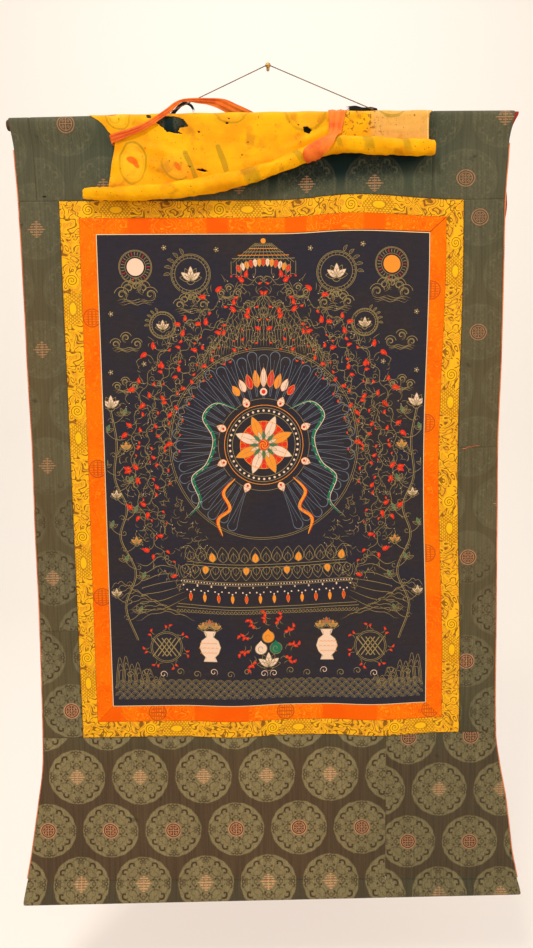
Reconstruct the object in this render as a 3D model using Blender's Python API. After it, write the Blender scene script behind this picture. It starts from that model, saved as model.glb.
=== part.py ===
"""Thangka scroll painting with its rods, cord, silk cover and wall nail.

Lengths are metres. A place on the scroll is given by three numbers: its distance across
from the scroll's centre line (right is positive), its drop below the middle of the top
edge, and how far it stands out from the wall. The origin is the nail's back end, where it
enters the wall. The front faces -Y and +Z is up.
"""

import math
from collections import namedtuple

import bmesh
import bpy
from mathutils import Vector

# Nail and hanging cord
NAIL_ACROSS = 0.014
NAIL_DROP = -0.087
NAIL_SHANK_RADIUS = 0.003
NAIL_LENGTH = 0.020
NAIL_HEAD_RADIUS = 0.005
NAIL_HEAD_THICK = 0.0022
NAIL_SIDES = 24
CORD_DIAMETER = 0.002
CORD_ON_NAIL_OUT = 0.0105
CORD_POINTS = 64
CORD_CLEARANCE = 0.0003
CORD_ARC_STEPS = 4

# Cloth layers, from the front to the back
CLOTH_OUT = 0.0185
CLOTH_THICK = 0.0012
LINING_THICK = 0.0010
LINING_GAP = 0.0012
SLEEVE_GAP = 0.0004
SEAM_INSET = 0.0002
PIPING_WIDTH = 0.0024
PIPING_THICK = 0.0020
PIPING_GAP = 0.0004

# Rods and the sleeves that hold them
TOP_ROD_RADIUS = 0.010
TOP_ROD_OUT = 0.0155
TOP_ROD_LEFT = -0.4785
TOP_ROD_RIGHT = 0.4740
TOP_BOW = 0.003
TOP_SLEEVE_RADIUS = TOP_ROD_RADIUS + 2 * SLEEVE_GAP + LINING_THICK + CLOTH_THICK
TOP_ROD_DROP = TOP_SLEEVE_RADIUS
SLEEVE_LEAD_DROP = 0.060
SLEEVE_FLAP_ANGLE = math.radians(211)
SLEEVE_FLAP_LENGTH = 0.0245
ROD_STEPS = 12
ROD_SIDES = 20
BOTTOM_ROD_RADIUS = 0.012
BOTTOM_ROD_OUT = 0.0185
BOTTOM_ROD_LEFT = -0.516
BOTTOM_ROD_RIGHT = 0.508
BOTTOM_SLEEVE_RADIUS = BOTTOM_ROD_RADIUS + SLEEVE_GAP + CLOTH_THICK
BOTTOM_DROP = 1.580
BOTTOM_TILT = -0.0085
BOTTOM_HEM_DROP = 0.003
STITCH_DROP = 1.5365
STITCH_TILT = 0.0115
HALF_SPAN = 0.52

# Outline of the hanging cloth, its binding included
Edge = namedtuple("Edge", "drop left right")
OUTLINE = (
    Edge(0.000, -0.4770, 0.4785),
    Edge(0.022, -0.4728, 0.4742),
    Edge(0.053, -0.4705, 0.4702),
    Edge(0.091, -0.4685, 0.4680),
    Edge(0.155, -0.4661, 0.4640),
    Edge(0.348, -0.4641, 0.4630),
    Edge(0.479, -0.4641, 0.4612),
    Edge(0.619, -0.4625, 0.4575),
    Edge(0.778, -0.4645, 0.4593),
    Edge(0.968, -0.4650, 0.4618),
    Edge(1.222, -0.4698, 0.4656),
    Edge(1.290, -0.4742, 0.4752),
    Edge(1.357, -0.4855, 0.4875),
    Edge(1.478, -0.5070, 0.5035),
    Edge(1.536, -0.5188, 0.5157),
    Edge(1.590, -0.5265, 0.5250),
)

# Corners of the three nested frames: the yellow border, the orange border, the picture
Frame = namedtuple("Frame", "left_top right_top left_low right_low drops rise draw_in")
Drops = namedtuple("Drops", "left_top right_top left_low right_low")
YELLOW = Frame(-0.3870, 0.3831, -0.3850, 0.3879, Drops(0.1518, 0.1599, 1.2190, 1.2184), 0.010, 0.0085)
ORANGE = Frame(-0.3500, 0.3505, -0.3538, 0.3516, Drops(0.1838, 0.1919, 1.1858, 1.1857), 0.008, 0.0115)
PICTURE = Frame(-0.3194, 0.3198, -0.3215, 0.3195, Drops(0.2137, 0.2192, 1.1533, 1.1542), 0.005, 0.0085)
RISE_ACROSS = 0.175
RISE_LEFT = 0.15
RISE_RIGHT = 0.21
DRAW_IN_DROP = 0.66
DRAW_IN_REACH = 0.42

# Soft dips of the lower seam
Dip = namedtuple("Dip", "across half_width depth")
LOW_DIPS = (
    Dip(0.236, 0.13, 0.0070),
    Dip(-0.075, 0.12, 0.0040),
)

# Soft ridges of the hanging cloth, and its hollows, whose lift is negative
Fold = namedtuple("Fold", "across drop half_width half_height lift")
FOLDS = (
    Fold(0.185, 0.270, 0.13, 0.24, 0.0055),
    Fold(0.236, 1.270, 0.12, 0.18, 0.0045),
    Fold(-0.075, 1.280, 0.12, 0.18, 0.0035),
    Fold(-0.290, 0.560, 0.15, 0.40, -0.0025),
    Fold(-0.040, 0.680, 0.24, 0.46, 0.0030),
    Fold(0.400, 0.650, 0.14, 0.38, 0.0040),
    Fold(-0.430, 1.400, 0.16, 0.20, -0.0030),
    Fold(0.470, 1.430, 0.16, 0.18, 0.0050),
    Fold(0.070, 1.410, 0.15, 0.15, -0.0025),
    Fold(-0.250, 1.390, 0.14, 0.17, 0.0032),
)

# Where the brocade is pieced
HEADING_SEAM_LEFT = 0.45
HEADING_SEAM_RIGHT = 0.921
LOWER_SEAM = 0.805
LEFT_SIDE_SEAM = 0.788
RIGHT_SIDE_SEAM = 0.446
TOP_SEAM_INDEX = 15
LOWER_SEAM_INDEX = 13
LEFT_SEAM_INDEX = 17
RIGHT_SEAM_INDEX = 10
WINDOW_COLUMNS = 16
WINDOW_ROWS = 22
HEADING_ROWS = 3
LEAD_ROWS = 3
SLEEVE_STEPS = 9
FLAP_ROWS = 2
LOWER_ROWS = 6
LINING_ROWS = 12
LOWER_SLEEVE_STEPS = 12

# Red lining that shows past the right edge
LINING_INSET = 0.0006
LINING_LOW_GAP = 0.004
Peek = namedtuple("Peek", "drop half_height reach")
LINING_PEEKS = (
    Peek(0.004, 0.030, 0.0055),
    Peek(0.170, 0.050, 0.0032),
)

# Silk cover, rolled up over the heading
COVER_THICK = 0.0010
COVER_OUT = TOP_ROD_OUT + TOP_SLEEVE_RADIUS + 0.0010
COVER_START_ANGLE = math.radians(64)
COVER_COLUMNS = 26
COVER_ARC_ROWS = 4
COVER_ROWS = 7
ROLL_SIDES = 14
ROLL_BITE = 0.0022
ROLL_SLOPE_STEP = 0.002
Station = namedtuple("Station", "drop across")
COVER_LEFT = (
    Station(0.000, -0.3230),
    Station(0.018, -0.2975),
    Station(0.034, -0.2850),
    Station(0.041, -0.2773),
    Station(0.053, -0.2740),
    Station(0.075, -0.2785),
    Station(0.111, -0.2855),
    Station(0.150, -0.2915),
)
COVER_RIGHT = (
    Station(0.000, 0.3220),
    Station(0.010, 0.3137),
    Station(0.080, 0.3137),
)
RollStation = namedtuple("RollStation", "across drop diameter")
ROLL = (
    RollStation(-0.3330, 0.1440, 0.021),
    RollStation(-0.2690, 0.1462, 0.027),
    RollStation(-0.1735, 0.1425, 0.032),
    RollStation(-0.1025, 0.1339, 0.034),
    RollStation(-0.0300, 0.1195, 0.032),
    RollStation(0.0336, 0.0998, 0.027),
    RollStation(0.0764, 0.0829, 0.029),
    RollStation(0.1080, 0.0721, 0.031),
    RollStation(0.1449, 0.0650, 0.033),
    RollStation(0.2002, 0.0670, 0.034),
    RollStation(0.2560, 0.0706, 0.031),
    RollStation(0.3190, 0.0724, 0.031),
)
ROLL_STATIONS = 26
Crease = namedtuple("Crease", "across drop run fall half_width lift")
COVER_CREASES = (
    Crease(-0.230, 0.030, 0.10, -0.030, 0.016, 0.0030),
    Crease(-0.215, 0.062, 0.09, 0.018, 0.015, 0.0026),
    Crease(-0.205, 0.092, 0.08, 0.050, 0.016, 0.0022),
    Crease(0.085, 0.050, 0.06, 0.030, 0.020, 0.0024),
    Crease(0.020, 0.060, 0.07, 0.012, 0.022, -0.0014),
)
TEAR_REACH = 0.02
Tear = namedtuple("Tear", "points")
TEARS = (
    Tear(((-0.1969, 0.0153), (-0.1809, 0.0042), (-0.1612, 0.0052), (-0.1457, 0.0107),
          (-0.1394, 0.0179), (-0.1368, 0.0242), (-0.1518, 0.0267), (-0.1557, 0.0327),
          (-0.1452, 0.0385), (-0.1766, 0.0335), (-0.1816, 0.0280))),
    Tear(((-0.2145, 0.0014), (-0.2062, 0.0014), (-0.2053, 0.0081), (-0.2136, 0.0080))),
    Tear(((0.0777, 0.0281), (0.0852, 0.0273), (0.0944, 0.0337), (0.0888, 0.0408),
          (0.0795, 0.0371))),
)

# Ribbons and ties: each row gives the two edges of the band
RIBBON_THICK = 0.0010
TIE_THICK = 0.0013
TIE_BAND_WIDTH = 0.013
TIE_BAND_START = math.radians(76)
TIE_BAND_END = math.radians(205)
TIE_BAND_STEPS = 10
TIE_LEFT_ACROSS = -0.171
TIE_RIGHT_ACROSS = 0.203
Band = namedtuple("Band", "edge_a edge_b")
Wrap = namedtuple("Wrap", "angle across_a across_b")
LEFT_RIBBON_ROOT = Wrap(128, -0.0500, -0.0060)
LEFT_RIBBON = (
    Band((-0.0167, -0.0085, 0.0100), (-0.0650, -0.0070, 0.0085)),
    Band((-0.0441, -0.0199, 0.0135), (-0.0830, -0.0148, 0.0120)),
    Band((-0.0694, -0.0289, 0.0170), (-0.1016, -0.0207, 0.0135)),
    Band((-0.1009, -0.0301, 0.0195), (-0.1202, -0.0227, 0.0155)),
    Band((-0.1231, -0.0295, 0.0220), (-0.1331, -0.0235, 0.0195)),
    Band((-0.1452, -0.0264, 0.0260), (-0.1476, -0.0221, 0.0225)),
    Band((-0.1615, -0.0182, 0.0310), (-0.1564, -0.0131, 0.0285)),
    Band((-0.1819, -0.0021, 0.0350), (-0.1767, 0.0056, 0.0340)),
    Band((-0.2176, 0.0192, 0.0365), (-0.2142, 0.0290, 0.0365)),
    Band((-0.2476, 0.0294, 0.0365), (-0.2462, 0.0419, 0.0365)),
    Band((-0.2690, 0.0375, 0.0362), (-0.2690, 0.0550, 0.0362)),
    Band((-0.2845, 0.0435, 0.0305), (-0.2845, 0.0575, 0.0305)),
    Band((-0.2690, 0.0475, 0.0244), (-0.2690, 0.0610, 0.0244)),
    Band((-0.2400, 0.0530, 0.0240), (-0.2400, 0.0670, 0.0240)),
    Band((-0.2050, 0.0620, 0.0238), (-0.2050, 0.0760, 0.0238)),
)
RIGHT_RIBBON_TOP = (
    Wrap(98, 0.1261, 0.1618),
    Wrap(70, 0.1261, 0.1618),
    Wrap(40, 0.1258, 0.1600),
    Wrap(10, 0.1256, 0.1560),
)
RIGHT_RIBBON_HANG = (
    Band((0.1258, 0.0300, 0.0330), (0.1508, 0.0300, 0.0330)),
    Band((0.1243, 0.0430, 0.0385), (0.1478, 0.0430, 0.0385)),
)
RIGHT_RIBBON_WRAP = (
    Wrap(75, 0.1200, 0.1465),
    Wrap(50, 0.1035, 0.1420),
    Wrap(25, 0.0830, 0.1370),
    Wrap(0, 0.0755, 0.1325),
    Wrap(-25, 0.0735, 0.1250),
    Wrap(-50, 0.0740, 0.1160),
    Wrap(-75, 0.0765, 0.1060),
    Wrap(-105, 0.0785, 0.1030),
    Wrap(-135, 0.0790, 0.1020),
    Wrap(-160, 0.0795, 0.1015),
)
WRAP_CLEARANCE = 0.0016
SLEEVE_WRAP_CLEARANCE = 0.0030
ROOT_CLEARANCE = 0.0012
LEFT_TAIL = (
    Band((-0.1740, -0.0036, 0.0135), (-0.1720, -0.0019, 0.0085)),
    Band((-0.1680, -0.0070, 0.0135), (-0.1660, -0.0065, 0.0085)),
    Band((-0.1620, -0.0125, 0.0135), (-0.1600, -0.0130, 0.0088)),
    Band((-0.1545, -0.0205, 0.0132), (-0.1530, -0.0215, 0.0088)),
    Band((-0.1470, -0.0248, 0.0128), (-0.1465, -0.0262, 0.0085)),
    Band((-0.1388, -0.0250, 0.0122), (-0.1385, -0.0268, 0.0080)),
    Band((-0.1314, -0.0215, 0.0115), (-0.1300, -0.0232, 0.0075)),
    Band((-0.1275, -0.0160, 0.0110), (-0.1255, -0.0170, 0.0070)),
)
RIGHT_TAIL = (
    Band((0.2180, -0.0036, 0.0192), (0.2175, -0.0080, 0.0155)),
    Band((0.2060, -0.0036, 0.0190), (0.2055, -0.0095, 0.0155)),
    Band((0.1930, -0.0040, 0.0190), (0.1925, -0.0108, 0.0152)),
    Band((0.1780, -0.0045, 0.0188), (0.1775, -0.0120, 0.0150)),
    Band((0.1655, -0.0050, 0.0185), (0.1650, -0.0125, 0.0148)),
)
CORD_LEFT_END = (-0.1735, -0.0060, 0.0175)
CORD_RIGHT_END = (0.2079, -0.0050, 0.0212)
SMOOTH_STEPS = 2


def place(across, drop, out):
    """World point of a place on the scroll."""
    return Vector((across - NAIL_ACROSS, -out, NAIL_DROP - drop))


def lerp(a, b, t):
    """Value a share t of the way from a to b."""
    return a + (b - a) * t


def bell(x):
    """Smooth bump that is 1 at 0 and 0 from 1 outward."""
    return 0.5 * (1 + math.cos(math.pi * x)) if abs(x) < 1 else 0.0


def smooth(t):
    """Soft step from 0 to 1."""
    t = min(max(t, 0.0), 1.0)
    return t * t * (3 - 2 * t)


def through(keys, values, x):
    """Value at x of the smooth curve through the points of a table."""
    last = len(keys) - 1
    i = next((k for k in range(last) if x <= keys[k + 1]), last - 1)

    def slope(k):
        a, b = max(k - 1, 0), min(k + 1, last)
        return (values[b] - values[a]) / (keys[b] - keys[a])

    span = keys[i + 1] - keys[i]
    t = min(max((x - keys[i]) / span, 0.0), 1.0)
    rise = t * t * (3 - 2 * t)
    return (lerp(values[i], values[i + 1], rise)
            + span * (slope(i) * t * (1 - t) ** 2 - slope(i + 1) * t * t * (1 - t)))


def column(table, name):
    """One named column of a table."""
    return [getattr(row, name) for row in table]


def edge(side, drop):
    """Outer edge of the scroll at a drop, on the left (-1) or the right (1)."""
    name = "left" if side < 0 else "right"
    return through(column(OUTLINE, "drop"), column(OUTLINE, name), drop)


def cloth_edge(side, drop):
    """Edge of the brocade, inside the binding."""
    return edge(side, drop) - side * (PIPING_WIDTH + PIPING_GAP)


def cloth_out(across, drop):
    """How far the front face of the cloth stands out."""
    lift = sum(f.lift * bell((across - f.across) / f.half_width) * bell((drop - f.drop) / f.half_height)
               for f in FOLDS)
    return CLOTH_OUT + lift


def top_drop(across):
    """Drop of the bowed top edge: the rod's ends hang a little lower."""
    return -TOP_BOW * (1 - (across / HALF_SPAN) ** 2)


def stitch_drop(across):
    """Drop of the stitching above the bottom rod."""
    return STITCH_DROP + STITCH_TILT * across / (2 * HALF_SPAN)


def bottom_drop(across):
    """Drop of the underside of the bottom sleeve."""
    return BOTTOM_DROP + BOTTOM_TILT * across / (2 * HALF_SPAN)


def rise(frame, across):
    """How far a frame's top edge is lifted where the cloth buckles."""
    reach = RISE_LEFT if across < RISE_ACROSS else RISE_RIGHT
    return frame.rise * bell((across - RISE_ACROSS) / reach)


def dip(across):
    """How far the lower seam dips."""
    return sum(d.depth * bell((across - d.across) / d.half_width) for d in LOW_DIPS)


def frame_top(frame, f):
    """Point a share f along a frame's top edge."""
    across = lerp(frame.left_top, frame.right_top, f)
    return across, lerp(frame.drops.left_top, frame.drops.right_top, f) - rise(frame, across)


def frame_low(frame, f):
    """Point a share f along a frame's bottom edge."""
    across = lerp(frame.left_low, frame.right_low, f)
    return across, lerp(frame.drops.left_low, frame.drops.right_low, f) + dip(across) * 4 * f * (1 - f)


def frame_left(frame, f):
    """Point a share f down a frame's left edge."""
    return (lerp(frame.left_top, frame.left_low, f),
            lerp(frame.drops.left_top, frame.drops.left_low, f))


def frame_right(frame, f):
    """Point a share f down a frame's right edge, which draws in at mid height."""
    drop = lerp(frame.drops.right_top, frame.drops.right_low, f)
    across = lerp(frame.right_top, frame.right_low, f)
    return across - frame.draw_in * bell((drop - DRAW_IN_DROP) / DRAW_IN_REACH) * smooth(8 * f), drop


def fractions(count, index, at):
    """Even steps from 0 to 1 that put one step exactly at a seam."""
    return [at * k / index if k <= index else lerp(at, 1, (k - index) / (count - index))
            for k in range(count + 1)]


TOP_STEPS = fractions(WINDOW_COLUMNS, TOP_SEAM_INDEX, HEADING_SEAM_RIGHT)
LOW_STEPS = fractions(WINDOW_COLUMNS, LOWER_SEAM_INDEX, LOWER_SEAM)
LEFT_STEPS = fractions(WINDOW_ROWS, LEFT_SEAM_INDEX, LEFT_SIDE_SEAM)
RIGHT_STEPS = fractions(WINDOW_ROWS, RIGHT_SEAM_INDEX, RIGHT_SIDE_SEAM)
MARGIN_STEPS = (0.0, HEADING_SEAM_LEFT, 1.0)


def finish(name, colour, roughness, metallic=0.0):
    """Material with one colour, roughness and metallic value."""
    material = bpy.data.materials.new(name)
    material.use_nodes = True
    shader = material.node_tree.nodes["Principled BSDF"]
    shader.inputs["Base Color"].default_value = (*colour, 1.0)
    shader.inputs["Roughness"].default_value = roughness
    shader.inputs["Metallic"].default_value = metallic
    return material


def add_mesh(name, points, faces, material, smooth_angle=40):
    """Object from points and faces, its faces turned outward."""
    mesh = bpy.data.meshes.new(name)
    build = bmesh.new()
    corners = [build.verts.new(point) for point in points]
    for face in faces:
        build.faces.new([corners[i] for i in face])
    bmesh.ops.recalc_face_normals(build, faces=build.faces)
    if build.calc_volume(signed=True) < 0:
        bmesh.ops.reverse_faces(build, faces=build.faces)
    build.to_mesh(mesh)
    build.free()
    mesh.shade_smooth()
    mesh.set_sharp_from_angle(angle=math.radians(smooth_angle))
    mesh.materials.append(material)
    piece = bpy.data.objects.new(name, mesh)
    bpy.context.scene.collection.objects.link(piece)
    return piece


def shell(name, front, back, material):
    """Closed sheet from two grids of points of the same size."""
    rows, columns = len(front), len(front[0])
    points = [p for row in front for p in row] + [p for row in back for p in row]
    offset = rows * columns

    def at(r, c, side):
        return r * columns + c + side * offset

    faces = []
    for r in range(rows - 1):
        for c in range(columns - 1):
            faces.append([at(r, c, 0), at(r, c + 1, 0), at(r + 1, c + 1, 0), at(r + 1, c, 0)])
            faces.append([at(r, c, 1), at(r + 1, c, 1), at(r + 1, c + 1, 1), at(r, c + 1, 1)])
    for r in range(rows - 1):
        for c in (0, columns - 1):
            faces.append([at(r, c, 0), at(r + 1, c, 0), at(r + 1, c, 1), at(r, c, 1)])
    for c in range(columns - 1):
        for r in (0, rows - 1):
            faces.append([at(r, c, 0), at(r, c + 1, 0), at(r, c + 1, 1), at(r, c, 1)])
    return add_mesh(name, points, faces, material)


def inset(grid):
    """Grid of (across, drop) pairs with its rim drawn in by the seam's gap."""
    def toward(p, q):
        gap = math.dist(p, q)
        return lerp(p[0], q[0], SEAM_INSET / gap), lerp(p[1], q[1], SEAM_INSET / gap)

    rows = [list(row) for row in grid]
    for row in rows:
        row[0], row[-1] = toward(row[0], row[1]), toward(row[-1], row[-2])
    first = [toward(p, q) for p, q in zip(rows[0], rows[1])]
    last = [toward(p, q) for p, q in zip(rows[-1], rows[-2])]
    return [first] + rows[1:-1] + [last]


def flat_cloth(name, grid, material):
    """Sewn piece that follows the folds of the hanging cloth."""
    grid = inset(grid)
    front = [[place(a, d, cloth_out(a, d)) for a, d in row] for row in grid]
    back = [[place(a, d, cloth_out(a, d) - CLOTH_THICK) for a, d in row] for row in grid]
    return shell(name, front, back, material)


def border_strip(name, outer, inner, curve, steps, material):
    """One mitred strip between two nested frames."""
    grid = [[curve(outer, f), curve(inner, f)] for f in steps]
    return flat_cloth(name, grid, material)


def picture_grid():
    """Points of the picture, which meet the borders' points on all four sides."""
    corners = [frame_top(PICTURE, 0), frame_top(PICTURE, 1), frame_low(PICTURE, 0), frame_low(PICTURE, 1)]
    grid = []
    for j in range(WINDOW_ROWS + 1):
        t = j / WINDOW_ROWS
        left, right = frame_left(PICTURE, LEFT_STEPS[j]), frame_right(PICTURE, RIGHT_STEPS[j])
        row = []
        for i in range(WINDOW_COLUMNS + 1):
            s = i / WINDOW_COLUMNS
            top, low = frame_top(PICTURE, TOP_STEPS[i]), frame_low(PICTURE, LOW_STEPS[i])
            row.append(tuple(
                lerp(top[k], low[k], t) + lerp(left[k], right[k], s)
                - lerp(lerp(corners[0][k], corners[1][k], s), lerp(corners[2][k], corners[3][k], s), t)
                for k in range(2)))
        grid.append(row)
    return grid


def side_grid(side, first, last):
    """Side panel from one step down the window's side to another."""
    steps = LEFT_STEPS if side < 0 else RIGHT_STEPS
    curve = frame_left if side < 0 else frame_right
    drops = YELLOW.drops
    start = drops.left_top if side < 0 else drops.right_top
    end = drops.left_low if side < 0 else drops.right_low
    grid = []
    for f in steps[first:last + 1]:
        inner = curve(YELLOW, f)
        drop = lerp(start, end, f)
        outer = (cloth_edge(side, drop), drop)
        grid.append([(lerp(outer[0], inner[0], s), lerp(outer[1], inner[1], s)) for s in MARGIN_STEPS])
    return grid


def seam_points(upper):
    """Points of the long seam above or below the window, from edge to edge."""
    curve, steps = (frame_top, TOP_STEPS) if upper else (frame_low, LOW_STEPS)
    window = [curve(YELLOW, f) for f in steps]
    points = []
    for side, corner in ((-1, window[0]), (1, window[-1])):
        outer = (cloth_edge(side, corner[1]), corner[1])
        margin = [(lerp(outer[0], corner[0], s), corner[1]) for s in MARGIN_STEPS[:-1]]
        points.append(margin)
    return points[0] + window + points[1][::-1]


def across_at(seam, index, drop):
    """Column position at another drop: columns beside the window lean with the edge."""
    margin = len(MARGIN_STEPS) - 1
    last = len(seam) - 1
    if index <= margin:
        return lerp(cloth_edge(-1, drop), seam[margin][0], MARGIN_STEPS[index])
    if index >= last - margin:
        return lerp(cloth_edge(1, drop), seam[last - margin][0], MARGIN_STEPS[last - index])
    return seam[index][0]


def heading_section(across_of, seam, thickness, inward):
    """Centre line of one layer: up the front, round the rod, down the back.

    The layer's centre lies inward of the brocade's centre by the amount given for the
    open cloth and for the sleeve. Each point comes with the direction out of the sleeve.
    """
    open_inward, sleeve_inward = inward
    centre_drop = top_drop(across_of(TOP_ROD_DROP)) + TOP_ROD_DROP
    radius = TOP_SLEEVE_RADIUS - CLOTH_THICK / 2 - sleeve_inward
    tangent_out = TOP_ROD_OUT + TOP_SLEEVE_RADIUS - CLOTH_THICK / 2
    section = []
    for k in range(HEADING_ROWS):
        drop = lerp(seam, SLEEVE_LEAD_DROP, k / HEADING_ROWS)
        section.append((drop, cloth_out(across_of(drop), drop) - CLOTH_THICK / 2 - open_inward, (1.0, 0.0)))
    for k in range(LEAD_ROWS):
        t = k / LEAD_ROWS
        drop = lerp(SLEEVE_LEAD_DROP, centre_drop, t)
        out = lerp(cloth_out(across_of(drop), drop) - CLOTH_THICK / 2, tangent_out, smooth(t))
        section.append((drop, out - lerp(open_inward, sleeve_inward, min(1.0, 1.5 * t)), (1.0, 0.0)))
    for k in range(SLEEVE_STEPS + 1):
        angle = SLEEVE_FLAP_ANGLE * k / SLEEVE_STEPS
        outward = (math.cos(angle), math.sin(angle))
        section.append((centre_drop - radius * outward[1], TOP_ROD_OUT + radius * outward[0], outward))
    flap = SLEEVE_FLAP_LENGTH - sleeve_inward * 0.5
    start = section[-1]
    for k in range(1, FLAP_ROWS + 1):
        run = flap * k / FLAP_ROWS
        section.append((start[0] + run * -math.cos(SLEEVE_FLAP_ANGLE),
                        start[1] + run * -math.sin(SLEEVE_FLAP_ANGLE), start[2]))
    return thicken(section, thickness)


def thicken(section, thickness):
    """Outer and inner line of a layer from its centre line."""
    half = thickness / 2
    outer = [(drop - n[1] * half, out + n[0] * half) for drop, out, n in section]
    inner = [(drop + n[1] * half, out - n[0] * half) for drop, out, n in section]
    return outer, inner


def tangent_angle(centre, radius, point, side):
    """Angle of the tangent point on a circle for a line from a point above it."""
    rise_by, out_by = centre[0] - point[0], point[1] - centre[1]
    reach = math.hypot(rise_by, out_by)
    return math.atan2(rise_by, out_by) - side * math.acos(radius / reach)


def lower_section(across_of, seam):
    """Centre line of the bottom panel: down the front, round the rod, up the back."""
    centre = (bottom_drop(across_of(BOTTOM_DROP)) - BOTTOM_SLEEVE_RADIUS, BOTTOM_ROD_OUT)
    radius = BOTTOM_SLEEVE_RADIUS - CLOTH_THICK / 2
    stitch = stitch_drop(across_of(STITCH_DROP))
    section = []
    for k in range(LOWER_ROWS + 1):
        drop = lerp(seam, stitch, k / LOWER_ROWS)
        section.append((drop, cloth_out(across_of(drop), drop) - CLOTH_THICK / 2, (1.0, 0.0)))
    apex = section[-1]
    hem = (apex[0] + BOTTOM_HEM_DROP, apex[1] - CLOTH_THICK - 2 * SLEEVE_GAP)
    first = tangent_angle(centre, radius, apex, 1)
    last = tangent_angle(centre, radius, hem, -1) - 2 * math.pi
    for k in range(LOWER_SLEEVE_STEPS + 1):
        angle = lerp(first, last, k / LOWER_SLEEVE_STEPS)
        outward = (math.cos(angle), math.sin(angle))
        section.append((centre[0] - radius * outward[1], centre[1] + radius * outward[0], outward))
    section.append((hem[0], hem[1], section[-1][2]))
    return thicken(section, CLOTH_THICK)


def wrapped_panel(name, seam, first, last, sections, material):
    """Panel that ends in a sleeve, from one column of the seam to another."""
    fronts, backs = [], []
    for i in range(first, last + 1):
        nudge = SEAM_INSET if i == first else -SEAM_INSET if i == last else 0.0

        def across_of(drop, column_index=i):
            return across_at(seam, column_index, drop)

        outer, inner = sections(across_of, seam[i][1])
        fronts.append([place(across_of(drop) + nudge, drop, out) for drop, out in outer])
        backs.append([place(across_of(drop) + nudge, drop, out) for drop, out in inner])
    return shell(name, fronts, backs, material)


def build_brocade(material):
    """Heading with its pieced ends, side panels and bottom panel with its patch."""
    margin = len(MARGIN_STEPS) - 1
    upper = seam_points(True)
    right_seam = margin + TOP_SEAM_INDEX
    inward = (0.0, 0.0)

    def heading(across_of, seam):
        return heading_section(across_of, seam - SEAM_INSET, CLOTH_THICK, inward)

    for name, first, last in (("heading_left_end", 0, 1), ("heading_middle", 1, right_seam),
                              ("heading_right_end", right_seam, len(upper) - 1)):
        wrapped_panel(name, upper, first, last, heading, material)

    for name, side, first, last in (
            ("side_left_upper", -1, 0, LEFT_SEAM_INDEX),
            ("side_left_lower", -1, LEFT_SEAM_INDEX, WINDOW_ROWS),
            ("side_right_upper", 1, 0, RIGHT_SEAM_INDEX),
            ("side_right_lower", 1, RIGHT_SEAM_INDEX, WINDOW_ROWS)):
        flat_cloth(name, side_grid(side, first, last), material)

    lower = seam_points(False)
    patch_seam = margin + LOWER_SEAM_INDEX

    def bottom(across_of, seam):
        return lower_section(across_of, seam + SEAM_INSET)

    wrapped_panel("bottom_panel", lower, 0, patch_seam, bottom, material)
    wrapped_panel("bottom_patch", lower, patch_seam, len(lower) - 1, bottom, material)


def build_borders(yellow, orange):
    """Two nested borders of four mitred strips each."""
    for colour, outer, inner, material in (("yellow", YELLOW, ORANGE, yellow),
                                           ("orange", ORANGE, PICTURE, orange)):
        for side, curve, steps in (("top", frame_top, TOP_STEPS), ("bottom", frame_low, LOW_STEPS),
                                   ("left", frame_left, LEFT_STEPS), ("right", frame_right, RIGHT_STEPS)):
            border_strip(f"{colour}_border_{side}", outer, inner, curve, steps, material)


def lining_edge(side, drop):
    """Edge of the lining, which peeks out past the brocade on the right."""
    reach = 0.0
    if side > 0:
        reach = sum(p.reach * bell((drop - p.drop) / p.half_height) for p in LINING_PEEKS)
    return edge(side, drop) - side * LINING_INSET + reach


def build_lining(material):
    """Red lining: up the back of everything and round inside the top sleeve."""
    upper, lower = seam_points(True), seam_points(False)
    open_inward = CLOTH_THICK / 2 + LINING_GAP + LINING_THICK / 2
    sleeve_inward = CLOTH_THICK / 2 + SLEEVE_GAP + LINING_THICK / 2
    last = len(upper) - 1
    fronts, backs = [], []
    for i, (top, low) in enumerate(zip(upper, lower)):
        section = []
        end = stitch_drop(low[0]) - LINING_LOW_GAP
        for k in range(LOWER_ROWS):
            section.append((lerp(end, low[1], k / LOWER_ROWS), low[0]))
        for k in range(LINING_ROWS):
            t = k / LINING_ROWS
            section.append((lerp(low[1], top[1], t), lerp(low[0], top[0], t)))
        outer, inner = [], []
        for drop, across in section:
            across = across if 0 < i < last else lining_edge(-1 if i == 0 else 1, drop)
            out = cloth_out(across, drop) - CLOTH_THICK - LINING_GAP
            outer.append(place(across, drop, out))
            inner.append(place(across, drop, out - LINING_THICK))

        def across_of(drop, index=i):
            if index in (0, last):
                return lining_edge(-1 if index == 0 else 1, drop)
            return across_at(upper, index, drop)

        layers = heading_section(across_of, top[1], LINING_THICK, (open_inward, sleeve_inward))
        for layer, line in zip(layers, (outer, inner)):
            line += [place(across_of(drop), drop, out) for drop, out in layer]
        fronts.append(outer)
        backs.append(inner)
    shell("lining", fronts, backs, material)


def edge_drops(side):
    """Drops of the rows that end at one edge, from below the top sleeve to the stitching."""
    upper, lower = seam_points(True), seam_points(False)
    index = 0 if side < 0 else -1
    top, low = upper[index][1], lower[index][1]
    steps = LEFT_STEPS if side < 0 else RIGHT_STEPS
    stitch = stitch_drop(side * HALF_SPAN)
    drops = [lerp(SLEEVE_LEAD_DROP, top, k / HEADING_ROWS) for k in range(HEADING_ROWS)]
    drops += [lerp(top, low, f) for f in steps]
    drops += [lerp(low, stitch, k / LOWER_ROWS) for k in range(1, LOWER_ROWS)]
    return drops


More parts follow.
